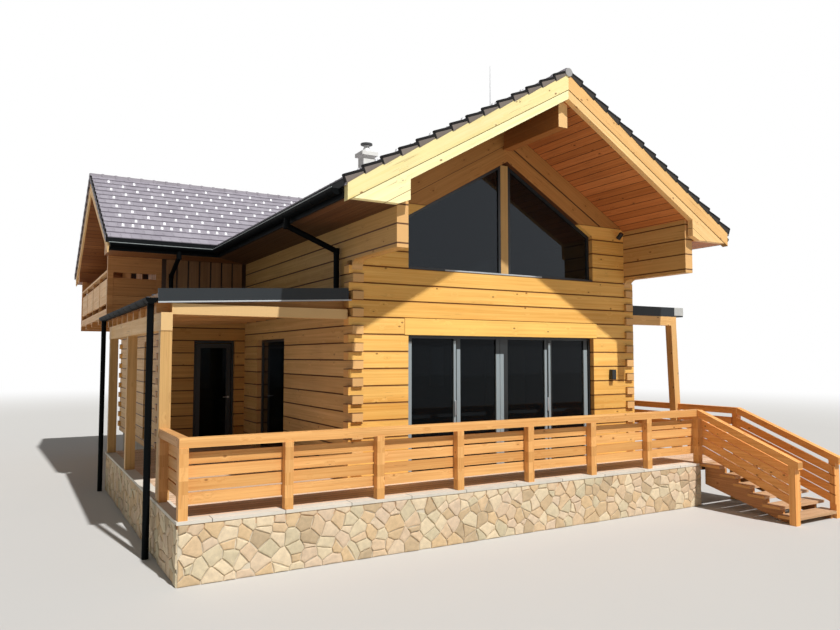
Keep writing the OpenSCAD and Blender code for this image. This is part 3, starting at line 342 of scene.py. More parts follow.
        # A tone for each timber, and slow changes along it
        tone = add(tree, "MapRange",
                   {0: own.outputs["Value"], 3: 1 - self.tone, 4: 1 + self.tone}).outputs[0]
        slow = add(tree, "TexNoise", {"Vector": place, "Scale": 0.9, "Detail": 2.0}).outputs["Fac"]
        slow = add(tree, "MapRange", {0: slow, 1: 0.3, 2: 0.7, 3: 0.93, 4: 1.06}).outputs[0]
        tone = add(tree, "Math", {0: tone, 1: slow}, operation="MULTIPLY").outputs[0]
        warm = add(tree, "Mix",
                   {0: own.outputs["Value"], 6: (1.0, 0.95, 0.86, 1.0), 7: (1.0, 1.03, 1.08, 1.0)},
                   data_type="RGBA").outputs[2]
        colour = add(tree, "VectorMath", {0: colour, "Scale": tone}, operation="SCALE").outputs[0]
        colour = add(tree, "VectorMath", {0: colour, 1: warm}, operation="MULTIPLY").outputs[0]
        # Knots of 15 to 30 mm
        core = add(tree, "MapRange", {0: knot.outputs["Distance"], 1: 0.05, 2: 0.13, 3: 0.8, 4: 0.0},
                   interpolation_type="SMOOTHSTEP").outputs[0]
        core = add(tree, "Math", {0: core, 1: held}, operation="MULTIPLY").outputs[0]
        colour = add(tree, "Mix", {0: core, 6: colour, 7: linear(self.knot)}, data_type="RGBA").outputs[2]
        check = self.checks(tree, place, bent)
        colour = add(tree, "Mix", {0: check, 6: colour, 7: linear(self.knot)}, data_type="RGBA").outputs[2]
        # End grain: rings, darker because the pores drink more oil
        ring = add(tree, "TexWave", {"Vector": place, "Scale": 22.0, "Distortion": 1.5, "Detail": 1.0},
                   wave_type="RINGS", rings_direction="X").outputs["Fac"]
        ring = add(tree, "MapRange", {0: ring, 3: 0.82, 4: 1.05}).outputs[0]
        face = add(tree, "VectorMath", {0: linear(self.end)[:3], "Scale": ring},
                   operation="SCALE").outputs[0]
        face = add(tree, "VectorMath", {0: face, "Scale": tone}, operation="SCALE").outputs[0]
        end = add(tree, "MapRange", {0: end, 1: 0.8, 2: 0.95, 3: 0.0, 4: 1.0}).outputs[0]
        colour = add(tree, "Mix", {0: end, 6: colour, 7: face}, data_type="RGBA").outputs[2]
        relief = add(tree, "Mix", {0: core, 2: lines, 3: 0.2}, data_type="FLOAT").outputs[0]
        relief = add(tree, "Math", {0: check, 1: -3.0, 2: relief}, operation="MULTIPLY_ADD").outputs[0]
        if self.gap:
            colour, relief = self.joints(tree, step, colour, relief)
        bump = add(tree, "Bump", {"Strength": 0.35, "Distance": 0.002, "Height": relief}).outputs[0]
        rough = add(tree, "MapRange", {0: lines, 3: self.rough - 0.06, 4: self.rough + 0.10}).outputs[0]
        feed(tree, shader, {"Base Color": colour, "Roughness": rough, "Normal": bump,
                            "Specular IOR Level": 0.3})


@dataclass(frozen=True)
class ClayTile(Finish):
    """Engobed clay, pressed and fired: a matt slip with its own tone on each tile and a little dust."""
    light: str = "#6C6268"
    dark: str = "#4A4348"
    rough: float = 0.58
    spread: float = 0.45

    def paint(self, tree: bpy.types.NodeTree, shader: bpy.types.Node) -> None:
        """Lay the slip's tones, its grit and its dust on a shader.

        Args:
            tree: The material's tree.
            shader: The Principled shader.
        """
        co = add(tree, "TexCoord").outputs["Object"]
        tone = add(tree, "Attribute", {}, attribute_name="tone").outputs["Fac"]
        tone = add(tree, "Math", {0: tone, 1: self.spread, 2: (1.0 - self.spread) / 2},
                   operation="MULTIPLY_ADD").outputs[0]
        cloud = add(tree, "TexNoise", {"Vector": co, "Scale": 3.0, "Detail": 4.0}).outputs["Fac"]
        # Grit of about 2 mm
        grit = add(tree, "TexNoise", {"Vector": co, "Scale": 420.0, "Detail": 1.0}).outputs["Fac"]
        share = add(tree, "Math", {0: cloud, 1: 0.7, 2: tone}, operation="MULTIPLY_ADD").outputs[0]
        share = add(tree, "MapRange", {0: share, 1: 0.15, 2: 1.45, 3: 0.0, 4: 1.0}).outputs[0]
        colour = add(tree, "Mix", {0: share, 6: linear(self.dark), 7: linear(self.light)},
                     data_type="RGBA").outputs[2]
        grain = add(tree, "MapRange", {0: grit, 1: 0.3, 2: 0.7, 3: 0.9, 4: 1.08}).outputs[0]
        colour = add(tree, "VectorMath", {0: colour, "Scale": grain}, operation="SCALE").outputs[0]
        bump = add(tree, "Bump", {"Strength": 0.3, "Distance": 0.001, "Height": grit}).outputs[0]
        rough = add(tree, "MapRange", {0: cloud, 3: self.rough - 0.08, 4: self.rough + 0.12}).outputs[0]
        feed(tree, shader, {"Base Color": colour, "Roughness": rough, "Normal": bump,
                            "Specular IOR Level": 0.25})


@dataclass(frozen=True)
class PaintedMetal(Finish):
    """Sheet metal, powder coated: an even satin film with faint orange peel and a trace of dust on top."""
    colour: str = "#24292B"
    rough: float = 0.38
    dust: float = 0.12
    above: float = 0.0
    cover: str = "#3A3C3E"
    gloss: float = 0.5

    def paint(self, tree: bpy.types.NodeTree, shader: bpy.types.Node) -> None:
        """Lay the film, its peel and its dust on a shader.

        Args:
            tree: The material's tree.
            shader: The Principled shader.
        """
        co = add(tree, "TexCoord")
        up = add(tree, "SeparateXYZ", {0: co.outputs["Normal"]}).outputs[2]
        cloud = add(tree, "TexNoise",
                    {"Vector": co.outputs["Object"], "Scale": 4.0, "Detail": 5.0}).outputs["Fac"]
        lies = add(tree, "MapRange", {0: up, 1: 0.2, 2: 1.0, 3: 0.15, 4: 1.0}).outputs[0]
        share = add(tree, "Math", {0: lies, 1: cloud}, operation="MULTIPLY").outputs[0]
        share = add(tree, "Math", {0: share, 1: self.dust}, operation="MULTIPLY").outputs[0]
        base: Any = linear(self.colour)
        if self.above:
            # The cover over a pipe or cone has a coat of its own
            height = add(tree, "SeparateXYZ", {0: co.outputs["Object"]}).outputs[2]
            over = add(tree, "Math", {0: height, 1: self.above}, operation="GREATER_THAN").outputs[0]
            base = add(tree, "Mix", {0: over, 6: base, 7: linear(self.cover)}, data_type="RGBA").outputs[2]
        colour = add(tree, "Mix", {0: share, 6: base, 7: linear("#A8A196")}, data_type="RGBA").outputs[2]
        # Orange peel about 3 mm across
        peel = add(tree, "TexNoise",
                   {"Vector": co.outputs["Object"], "Scale": 300.0, "Detail": 1.0}).outputs["Fac"]
        bump = add(tree, "Bump", {"Strength": 0.08, "Distance": 0.0005, "Height": peel}).outputs[0]
        rough = add(tree, "MapRange", {0: cloud, 3: self.rough - 0.07, 4: self.rough + 0.12}).outputs[0]
        feed(tree, shader, {"Base Color": colour, "Roughness": rough, "Normal": bump,
                            "Specular IOR Level": self.gloss})


@dataclass(frozen=True)
class BrushedMetal(Finish):
    """Aluminium or steel, drawn and anodised: fine lines along its length that widen the highlight."""
    colour: str = "#B4BAC0"
    rough: float = 0.34
    lines: Vec = (40.0, 40.0, 2.0)

    def paint(self, tree: bpy.types.NodeTree, shader: bpy.types.Node) -> None:
        """Lay the drawn lines on a shader.

        Args:
            tree: The material's tree.
            shader: The Principled shader.
        """
        co = add(tree, "TexCoord").outputs["Object"]
        drawn = add(tree, "Mapping", {"Vector": co, "Scale": self.lines}).outputs[0]
        drawn = add(tree, "TexNoise", {"Vector": drawn, "Scale": 12.0, "Detail": 3.0}).outputs["Fac"]
        value = add(tree, "MapRange", {0: drawn, 1: 0.3, 2: 0.7, 3: 0.88, 4: 1.06}).outputs[0]
        colour = add(tree, "VectorMath", {0: linear(self.colour)[:3], "Scale": value},
                     operation="SCALE").outputs[0]
        rough = add(tree, "MapRange", {0: drawn, 3: self.rough - 0.08, 4: self.rough + 0.12}).outputs[0]
        bump = add(tree, "Bump", {"Strength": 0.1, "Distance": 0.0004, "Height": drawn}).outputs[0]
        feed(tree, shader, {"Base Color": colour, "Roughness": rough, "Normal": bump, "Metallic": 0.9})


@dataclass(frozen=True)
class Glass(Finish):
    """Insulating float glass, coated: smooth, dark against the room behind it, a little wavy, and with a
    painted reflection tint.
    """
    colour: str = "#32383C"
    # Reflection tints, a painted reflection: dim for the ground floor's panes, bright for the panes above
    coated: str = "#6A7076"
    plain: str = "#D4DEEA"
    reflection_split_z: float = 3.3

    def paint(self, tree: bpy.types.NodeTree, shader: bpy.types.Node) -> None:
        """Lay the glass's tint, its painted reflection tint and its slight waves on a shader.

        Args:
            tree: The material's tree.
            shader: The Principled shader.
        """
        co = add(tree, "TexCoord").outputs["Object"]
        wave = add(tree, "TexNoise", {"Vector": co, "Scale": 1.3, "Detail": 1.0}).outputs["Fac"]
        smear = add(tree, "TexNoise", {"Vector": co, "Scale": 5.0, "Detail": 4.0}).outputs["Fac"]
        # Painted reflection: panes below this height get a dim reflection tint, panes above it a bright one
        height = add(tree, "SeparateXYZ", {0: co}).outputs[2]
        upper = add(tree, "Math", {0: height, 1: self.reflection_split_z}, operation="GREATER_THAN").outputs[0]
        tint = add(tree, "Mix", {0: upper, 6: linear(self.coated), 7: linear(self.plain)},
                   data_type="RGBA").outputs[2]
        rough = add(tree, "MapRange", {0: smear, 1: 0.4, 2: 0.8, 3: 0.01, 4: 0.05}).outputs[0]
        bump = add(tree, "Bump", {"Strength": 0.25, "Distance": 0.004, "Height": wave}).outputs[0]
        feed(tree, shader, {"Base Color": linear(self.colour), "IOR": 1.5, "Transmission Weight": 0.9,
                            "Specular Tint": tint, "Roughness": rough, "Normal": bump})


@dataclass(frozen=True)
class RubbleStone(Finish):
    """Split field stone: each one has its own beige, rose or olive, with veins, grit and a rough break."""
    pale: str = "#E2CEAC"
    warm: str = "#D6B88E"
    rosy: str = "#D4BCA0"
    olive: str = "#C8BA9A"
    dark: str = "#B8A282"

    def paint(self, tree: bpy.types.NodeTree, shader: bpy.types.Node) -> None:
        """Lay the stones' own tones, their veins and their break on a shader.

        Args:
            tree: The material's tree.
            shader: The Principled shader.
        """
        co = add(tree, "TexCoord").outputs["Object"]
        tone = add(tree, "Attribute", {}, attribute_name="tone").outputs["Fac"]
        stone = add(tree, "ValToRGB", {0: tone}, stops=[
            (0.0, linear(self.dark)), (0.25, linear(self.warm)), (0.5, linear(self.rosy)),
            (0.75, linear(self.pale)), (1.0, linear(self.olive))
        ]).outputs[0]
        cloud = add(tree, "TexNoise",
                    {"Vector": co, "Scale": 14.0, "Detail": 6.0, "Roughness": 0.65}).outputs["Fac"]
        # Grit of about 4 mm
        grit = add(tree, "TexNoise", {"Vector": co, "Scale": 180.0, "Detail": 2.0}).outputs["Fac"]
        value = add(tree, "Math", {0: grit, 1: 0.35, 2: cloud}, operation="MULTIPLY_ADD").outputs[0]
        value = add(tree, "MapRange", {0: value, 1: 0.35, 2: 1.0, 3: 0.76, 4: 1.16}).outputs[0]
        colour = add(tree, "VectorMath", {0: stone, "Scale": value}, operation="SCALE").outputs[0]
        bump = add(tree, "Bump", {"Strength": 0.7, "Distance": 0.006, "Height": value}).outputs[0]
        feed(tree, shader, {"Base Color": colour, "Roughness": 0.85, "Normal": bump})


@dataclass(frozen=True)
class Masonry(Finish):
    """Cement render, mortar or cut stone: an even mineral surface, trowelled or sawn, with open pores."""
    colour: str = "#B7AD9C"
    grit: float = 160.0
    relief: float = 0.004
    spread: float = 0.16
    slab: float = 0.0
    slab_axis: int = 0

    def paint(self, tree: bpy.types.NodeTree, shader: bpy.types.Node) -> None:
        """Lay clouds, pores and, where slabs meet, their joints on a shader.

        Args:
            tree: The material's tree.
            shader: The Principled shader.
        """
        co = add(tree, "TexCoord").outputs["Object"]
        cloud = add(tree, "TexNoise", {"Vector": co, "Scale": 5.0, "Detail": 6.0}).outputs["Fac"]
        grit = add(tree, "TexNoise", {"Vector": co, "Scale": self.grit, "Detail": 3.0}).outputs["Fac"]
        value = add(tree, "Math", {0: grit, 1: 0.5, 2: cloud}, operation="MULTIPLY_ADD").outputs[0]
        value = add(tree, "MapRange",
                    {0: value, 1: 0.45, 2: 1.05, 3: 1 - self.spread, 4: 1 + self.spread}).outputs[0]
        colour = add(tree, "VectorMath", {0: linear(self.colour)[:3], "Scale": value},
                     operation="SCALE").outputs[0]
        height = value
        if self.slab:
            parts = add(tree, "SeparateXYZ", {0: co}).outputs
            place = add(tree, "Math", {0: parts[self.slab_axis], 1: self.slab},
                        operation="DIVIDE").outputs[0]
            which = add(tree, "Math", {0: place}, operation="FLOOR").outputs[0]
            own = add(tree, "TexWhiteNoise", {"W": which}, noise_dimensions="1D").outputs["Value"]
            tone = add(tree, "MapRange", {0: own, 3: 0.9, 4: 1.06}).outputs[0]
            colour = add(tree, "VectorMath", {0: colour, "Scale": tone}, operation="SCALE").outputs[0]
            part = add(tree, "Math", {0: place}, operation="FRACT").outputs[0]
            part = add(tree, "Math", {0: part, 1: 0.5}, operation="SUBTRACT").outputs[0]
            part = add(tree, "Math", {0: part}, operation="ABSOLUTE").outputs[0]
            joint = add(tree, "MapRange", {0: part, 1: 0.492, 2: 0.497, 3: 0.0, 4: 1.0}).outputs[0]
            colour = add(tree, "Mix", {0: joint, 6: colour, 7: linear("#6E675C")},
                         data_type="RGBA").outputs[2]
            height = add(tree, "Math", {0: joint, 1: -2.0, 2: value}, operation="MULTIPLY_ADD").outputs[0]
        bump = add(tree, "Bump", {"Strength": 0.5, "Distance": self.relief, "Height": height}).outputs[0]
        feed(tree, shader, {"Base Color": colour, "Roughness": 0.9, "Normal": bump})


@dataclass(frozen=True)
class StudioFloor(Finish):
    """Pale matt studio floor: even paint that fades into the white behind it, far from the house."""
    colour: str = "#C6C4C0"
    near: float = 17.0
    far: float = 48.0

    def paint(self, tree: bpy.types.NodeTree, shader: bpy.types.Node) -> None:
        """Lay the paint and its fading on a shader.

        Args:
            tree: The material's tree.
            shader: The Principled shader.
        """
        co = add(tree, "TexCoord").outputs["Object"]
        cloud = add(tree, "TexNoise", {"Vector": co, "Scale": 0.4, "Detail": 3.0}).outputs["Fac"]
        value = add(tree, "MapRange", {0: cloud, 3: 0.985, 4: 1.015}).outputs[0]
        colour = add(tree, "VectorMath", {0: linear(self.colour)[:3], "Scale": value},
                     operation="SCALE").outputs[0]
        away = add(tree, "VectorMath", {0: co}, operation="LENGTH").outputs["Value"]
        share = add(tree, "MapRange", {0: away, 1: self.near, 2: self.far, 3: 0.0, 4: 1.0},
                    interpolation_type="SMOOTHSTEP").outputs[0]
        seen = add(tree, "LightPath").outputs["Is Camera Ray"]
        share = add(tree, "Math", {0: share, 1: seen}, operation="MULTIPLY").outputs[0]
        white = add(tree, "Emission", {"Color": (1.0, 1.0, 1.0, 1.0), "Strength": 1.0}).outputs[0]
        mixed = add(tree, "MixShader", {0: share, 1: shader.outputs[0], 2: white}).outputs[0]
        out = next(node for node in tree.nodes if node.bl_idname == "ShaderNodeOutputMaterial")
        feed(tree, out, {"Surface": mixed})
        feed(tree, shader, {"Base Color": colour, "Roughness": 0.9})


# Making meshes

def clear() -> None:
    """Leave nothing selected, in object mode."""
    if bpy.context.object and bpy.context.object.mode != "OBJECT":
        bpy.ops.object.mode_set(mode="OBJECT")
    bpy.ops.object.select_all(action="DESELECT")


def hold(piece: bpy.types.Object) -> None:
    """Leave a piece alone selected and active, in object mode."""
    clear()
    piece.select_set(True)
    bpy.context.view_layer.objects.active = piece


def settle(piece: bpy.types.Object) -> bpy.types.Object:
    """Put a piece's place, turn and size into its mesh."""
    hold(piece)
    bpy.ops.object.transform_apply(location=True, rotation=True, scale=True)
    return piece


def modified(piece: bpy.types.Object, kind: str, **settings: Any) -> bpy.types.Object:
    """Give a piece a modifier and apply it.

    Args:
        piece: The piece.
        kind: The modifier's kind.
        settings: The modifier's own properties.

    Returns:
        The same piece.
    """
    hold(piece)
    made = piece.modifiers.new(kind.lower(), kind)
    for name, value in settings.items():
        setattr(made, name, value)
    bpy.ops.object.modifier_apply(modifier=made.name)
    return piece


def edge_bevel(piece: bpy.types.Object, width: float, segments: int = 1) -> bpy.types.Object:
    """Round a piece's edges by a width in metres, in one segment or more."""
    return modified(piece, "BEVEL", width=width, segments=segments, limit_method="ANGLE")


def board(name: str, low: Vec, high: Vec, ease: float = 0.003, segments: int = 1) -> bpy.types.Object:
    """Model a planed board or bar with eased edges between two corners.

    Args:
        name: The piece's name.
        low: Its lowest corner.
        high: Its highest corner.
        ease: The width of its eased edges.
        segments: The bevel's segments.

    Returns:
        The piece.
    """
    clear()
    middle = [(a + b) / 2 for a, b in zip(low, high)]
    bpy.ops.mesh.primitive_cube_add(size=1.0, location=middle)
    piece = bpy.context.object
    piece.name = name
    piece.scale = [b - a for a, b in zip(low, high)]
    settle(piece)
    return edge_bevel(piece, ease, segments) if ease else piece


def pick(piece: bpy.types.Object, test: Callable[[bpy.types.MeshPolygon], bool]) -> None:
    """Go into edit mode with nothing selected but the faces that pass a test.

    Args:
        piece: The piece.
        test: The test of a face.
    """
    hold(piece)
    bpy.ops.object.mode_set(mode="EDIT")
    bpy.ops.mesh.select_all(action="DESELECT")
    bpy.ops.object.mode_set(mode="OBJECT")
    for face in piece.data.polygons:
        face.select = bool(test(face))
    bpy.ops.object.mode_set(mode="EDIT")


def draw_out(piece: bpy.types.Object, test: Callable[[bpy.types.MeshPolygon], bool], way: Vec) -> None:
    """Extrude the faces that pass a test.

    Args:
        piece: The piece.
        test: The test of a face.
        way: How far they move.
    """
    pick(piece, test)
    bpy.ops.mesh.extrude_region_move(TRANSFORM_OT_translate={"value": way})
    bpy.ops.object.mode_set(mode="OBJECT")


def split(piece: bpy.types.Object, through: Vec, normal: Vec) -> None:
    """Divide a piece's faces where a plane crosses them.

    Args:
        piece: The piece.
        through: A point of the plane.
        normal: The plane's direction.
    """
    hold(piece)
    bpy.ops.object.mode_set(mode="EDIT")
    bpy.ops.mesh.select_all(action="SELECT")
    bpy.ops.mesh.bisect(plane_co=through, plane_no=normal)
    bpy.ops.object.mode_set(mode="OBJECT")


@dataclass
class Stock:
    """A modelled shape, kept as arrays so that copies of it can be laid out."""
    points: np.ndarray
    faces: List[Tuple[int, ...]]

    @staticmethod
    def of(piece: bpy.types.Object) -> "Stock":
        """Take a piece's mesh as a shape to repeat, and remove the piece.

        Args:
            piece: The piece.

        Returns:
            The shape.
        """
        points = np.array([v.co[:] for v in piece.data.vertices])
        faces = [tuple(p.vertices) for p in piece.data.polygons]
        bpy.data.objects.remove(piece)
        return Stock(points, faces)


@dataclass
class Row:
    """Copies of shapes, gathered into one mesh with a tone for each copy."""
    name: str
    seed: int = 7
    points: List[np.ndarray] = field(default_factory=list)
    faces: List[Tuple[int, ...]] = field(default_factory=list)
    tones: List[float] = field(default_factory=list)
    count: int = 0

    def __post_init__(self) -> None:
        """Start the row's own chance."""
        self.chance = random.Random(self.seed)

    def lay(self, stock: Stock, frame_of: Matrix) -> None:
        """Lay one copy of a shape, with a tone of its own.

        Args:
            stock: The shape.
            frame_of: Where it goes.
        """
        turned = stock.points @ np.array(frame_of.to_3x3()).T + np.array(frame_of.translation)
        self.points.append(turned)
        self.faces.extend(tuple(i + self.count for i in f) for f in stock.faces)
        self.count += len(turned)
        self.tones.extend([self.chance.random()] * len(stock.faces))

    def make(self) -> bpy.types.Object:
        """Make the row's mesh, with its faces outwards.

        Returns:
            The new piece.
        """
        mesh = bpy.data.meshes.new(self.name)
        mesh.from_pydata(np.concatenate(self.points).tolist(), [], self.faces)
        tone = mesh.attributes.new("tone", "FLOAT", "FACE")
        tone.data.foreach_set("value", self.tones)
        piece = bpy.data.objects.new(self.name, mesh)
        bpy.context.scene.collection.objects.link(piece)
        outwards(piece)
        return piece


def outwards(piece: bpy.types.Object) -> None:
    """Turn a piece's faces outwards.

    Args:
        piece: The piece.
    """
    hold(piece)
    bpy.ops.object.mode_set(mode="EDIT")
    bpy.ops.mesh.select_all(action="SELECT")
    bpy.ops.mesh.normals_make_consistent(inside=False)
    bpy.ops.object.mode_set(mode="OBJECT")


def trim(piece: bpy.types.Object, through: Vec, normal: Vec) -> None:
    """Cut away what lies on a plane's outer side, and close the cut.

    Args:
        piece: The piece.
        through: A point of the plane.
        normal: The direction of what is cut away.
    """
    hold(piece)
    bpy.ops.object.mode_set(mode="EDIT")
    bpy.ops.mesh.select_all(action="SELECT")
    bpy.ops.mesh.bisect(plane_co=through, plane_no=normal, use_fill=True, clear_outer=True, threshold=1e-5)
    bpy.ops.object.mode_set(mode="OBJECT")


def hand_over(piece: bpy.types.Object, finish: Finish) -> None:
    """Finish a piece and let it ride on the house.

    Args:
        piece: The piece.
        finish: Its finish.
    """
    finish.put_on(piece)
    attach(piece, HOUSE)
    log.info("%s: %d faces", piece.name, len(piece.data.polygons))


# Finishes of this house

# Squared logs, planed and oiled: warm long lines, with a soft groove of shade between the courses
LOG_X = Wood("oiled_spruce_logs_across", Grain.X, light="#FFD078", dark="#E6A64C", end="#E8AE62", gap=0.009,
             gap_depth=0.2, seam="#6E3E18", soft=0.055)
# The side walls' logs, darker and duller than the front's: painted shade on walls that face away from the
# light
LOG_Y = Wood("oiled_spruce_logs_deep", Grain.Y, light="#DDB272", dark="#BC8E50", end="#E8B676",
             first=FIRST_COURSE - COURSE / 2, gap=0.011, gap_depth=0.2, seam="#54301A", soft=0.040,
             seed=3.0)
# The porch's logs, darker still: painted shade under the porch roof
LOG_PORCH = Wood("oiled_spruce_porch_logs", Grain.X, light="#D8A862", dark="#B58344", end="#C08A4C",
                 gap=0.011, gap_depth=0.2, seam="#50301A", soft=0.040, seed=4.0)
# One thick plank over the glazing, planed and oiled: a bright even band without joints
LINTEL = Wood("oiled_spruce_lintel", Grain.X, light="#FFD274", dark="#E8B056", first=0.3, timber=5.0,
              seed=5.0)
# Bargeboards and gable boards, planed: long lines along the rake and one thin joint between boards
# The right bargeboard's deeper orange pair is painted shade of the same pale boards
RAKE = Wood("planed_spruce_bargeboard", Grain.RAKE_X, light="#FFF7C4", dark="#F6E49C", first=5.9487,
            timber=0.25, across="U", gap=0.005, seam="#94703A", tone=0.05, right=("#F8CE90", "#E8B470"),
            seed=8.0)
# The gable boards' deep brown is painted shade under the roof's overhang
RAKE_GABLE = Wood("oiled_spruce_gable_boards", Grain.RAKE_X, light="#C99252", dark="#A87038", first=5.5530,
                  timber=0.2702, across="U", gap=0.006, seam="#5E381C", tone=0.08, seed=9.0)
RAKE_MAIN = Wood("planed_spruce_end_bargeboard", Grain.RAKE_Y, light="#F3C98A", dark="#D9A768", first=-0.4,
                 timber=9.0, seed=11.0, pitch=MAIN_PITCH)
# Posts, beams and rafters, planed: upright or long lines, so that each timber reads as one piece
# The posts' colour is set a little darker than their timber's own, as painted shade
POST = Wood("planed_spruce_post", Grain.Z, light="#D4AC70", dark="#B48A52", timber=3.0, first=-8.7,
            across="Y", seed=13.0)
CANOPY = Wood("planed_spruce_canopy_timber", Grain.X, light="#F2C788", dark="#D6A262", timber=3.0,
              first=-9.2, across="Y", upright=((2, "LESS_THAN", 3.289),), seed=14.0)
# The ridge purlin's dark brown sides are painted shade under the roof; its end keeps a bright colour
BEAM_Y = Wood("planed_spruce_beam_deep", Grain.Y, light="#B0763F", dark="#935829", end="#E8BC80",
              timber=9.0, first=0.0, seed=17.0)
PORCH_BEAM = Wood("planed_spruce_porch_beam", Grain.Y, light="#F4CC8E", dark="#DAA868", end="#EEC68A",
                  timber=9.0, first=0.0, seed=19.0)
RAFTER = Wood("planed_spruce_porch_rafter", Grain.X, light="#E2AE70", dark="#C38C4E", timber=0.5,
              first=-8.5, across="Y", seed=83.0)
# Narrow boards under the roofs, stained: deep brown with dark joints. The front roof's soffit is painted
# darker left of the ridge, as painted shade, and brighter right of it
SOFFIT_Y = Wood("stained_larch_soffit_deep", Grain.Y, light="#6A4429", dark="#52331E", knot="#38200F",
                timber=NARROW_BOARD, first=0.0, across="X", gap=0.007, right=("#D0844A", "#AC6434"),
                seed=23.0, tone=0.13)
SOFFIT_X = Wood("stained_larch_soffit_across", Grain.X, light="#A86C3C", dark="#8A522C", knot="#4A2614",
                timber=NARROW_BOARD, first=0.0, across="Y", gap=0.007, seed=29.0, tone=0.13)
# Boards of the upper storey, planed: upright lines and a tone of their own, on dark backing. The long
# walls' boards are painted darker than the gables', as painted shade
CLAD = Wood("planed_larch_cladding", Grain.Z, light="#B08458", dark="#8A6040", timber=CLAD_PITCH,
            first=-4.8, across="X", seed=31.0, tone=0.12)
CLAD_END = Wood("planed_larch_end_cladding", Grain.Z, light="#D89A5E", dark="#B27843", timber=CLAD_PITCH,
                first=-3.0, across="Y", seed=33.0, tone=0.12)
# Backing painted near black-brown as shade in the recessed gaps between boards
BEHIND = Wood("backing_boards_painted_gap_shade", Grain.Z, light="#4A3020", dark="#352315", timber=CLAD_PITCH,
              first=-4.8, across="X", seed=37.0)
# Railings, planed larch: honey brown slats that lie, and posts that stand
RAIL_FRONT = Wood("planed_larch_front_railing", Grain.X, light="#EDB874", dark="#CA8A48", timber=SLAT_PITCH,
                  first=FIRST_SLAT, upright=((1, "LESS_THAN", -9.931), (2, "LESS_THAN", UNDER_RAIL)),
                  seed=41.0, tone=0.12)
RAIL_LEFT = Wood("planed_larch_left_railing", Grain.Y, light="#E0AE74", dark="#BC844A", timber=SLAT_PITCH,
                 first=FIRST_SLAT, upright=((0, "LESS_THAN", -5.681), (2, "LESS_THAN", UNDER_RAIL)),
                 seed=43.0, tone=0.12)
RAIL_RIGHT = Wood("planed_larch_right_railing", Grain.Y, light="#F6B46A", dark="#D28846", timber=SLAT_PITCH,
                  first=FIRST_SLAT, upright=((0, "GREATER_THAN", 4.311), (2, "LESS_THAN", UNDER_RAIL)),
                  seed=47.0, tone=0.12)
RAIL_STAIR = Wood("planed_larch_stair_railing", Grain.Y, light="#FFC074", dark="#DE9048", timber=9.0,
                  first=-3.0, upright=((1, "LESS_THAN", -11.7299), (2, "LESS_THAN", 0.905)), seed=53.0,
                  tone=0.12)
# Deck, floor and stair: grey and rough where the weather reaches, smooth and brown indoors
DECK = Wood("weathered_larch_deck", Grain.X, light="#E8CBAE", dark="#C8A686", knot="#8B6A52",
            timber=NARROW_BOARD, first=-10.06, across="Y", gap=0.008, rough=0.7, seed=59.0, tone=0.13)
FLOOR = Wood("oiled_oak_floor", Grain.X, light="#A87B4E", dark="#8A5F38", timber=0.16, first=0.0,
             across="Y", gap=0.002, rough=0.42, seed=61.0)
TREAD = Wood("weathered_larch_treads", Grain.X, light="#D2AC86", dark="#AC8660", timber=0.265, first=-10.47,
             across="Y", rough=0.65, seed=67.0)
STRINGER = Wood("planed_larch_stringer", Grain.Y, light="#C88E5C", dark="#A46E42", timber=2.0, first=0.0,
                seed=71.0)
# The balcony's planks and timbers, planed larch: amber lines along the rails. The front's timbers are
# painted brighter, as painted light, and the side planks darker, as painted shade
PANEL = Wood("planed_larch_balcony_panel", Grain.X, light="#DA9A5C", dark="#B67842", timber=0.176,
             first=3.553, seed=73.0)
BALCONY = Wood("planed_larch_balcony_timber", Grain.Y, light="#F6C890", dark="#DAA66C", timber=0.3,
               first=0.0, seed=79.0)
# Clay tiles and caps in an engobe of grey violet: matt, each with its own tone
TILE = ClayTile("engobed_clay_tile", light="#A8A3AB", dark="#7E7882")
CAP = ClayTile("engobed_clay_ridge_cap", light="#98929A", dark="#6C666C", rough=0.5)
# The verge tiles' sides and ribs, in the same slip but shaded: a dark saw-toothed line
VERGE = ClayTile("engobed_clay_verge_tile", light="#857A72", dark="#685F58", rough=0.6)
VERGE_DARK = ClayTile("engobed_clay_shadowed_verge", light="#38332F", dark="#26221F", rough=0.6)
RIB = ClayTile("engobed_clay_verge_rib", light="#161414", dark="#0C0B0B", rough=0.8)
# Coated sheet metal of gutters, fascias and frames: nearly black, with little gloss and dust
GUTTER = PaintedMetal("powder_coated_steel_gutter", "#0B0D0E", rough=0.5, dust=0.0, gloss=0.03)
SHEET = PaintedMetal("folded_coated_steel_roof_sheet", "#4A4E52", rough=0.45, dust=0.06, gloss=0.3)
# The gutters' pale bead: a painted highlight along their nearly black tops
BEAD = PaintedMetal("gutter_bead_painted_highlight", "#8E9694", rough=0.4, dust=0.0, gloss=0.5)
FASCIA = PaintedMetal("powder_coated_steel_fascia", "#2C3033", rough=0.45, dust=0.04, gloss=0.2)
# The eaves' coat, also on the strip under the lowest tiles as painted shade
EAVES = PaintedMetal("eaves_fascia_and_painted_eave_shade", "#0E1113", rough=0.5, dust=0.0, gloss=0.1)
# The frames' dark coat, also on the stiles' heads and the gable sill's ends as painted shadow
FRAME = PaintedMetal("dark_aluminium_frame_and_painted_shadow", "#1A1E20", rough=0.36, dust=0.05)
# White and pale coated pieces: the flue, the snow guards and the glazing's stiles and sills. The snow
# guards' white is a painted glint of their bare metal
COWL = PaintedMetal("white_enamelled_flue_cowl", "#E8E8E6", rough=0.35, above=8.25)
GUARD = PaintedMetal("snow_guard_painted_glint_white", "#F4F4F6", rough=0.5, dust=0.0)
PALE_EDGE = PaintedMetal("anodised_pale_aluminium_stile", "#909CA0", rough=0.35, dust=0.0)
SILL = PaintedMetal("pale_coated_aluminium_sill", "#B4B8BA", rough=0.4, dust=0.04)
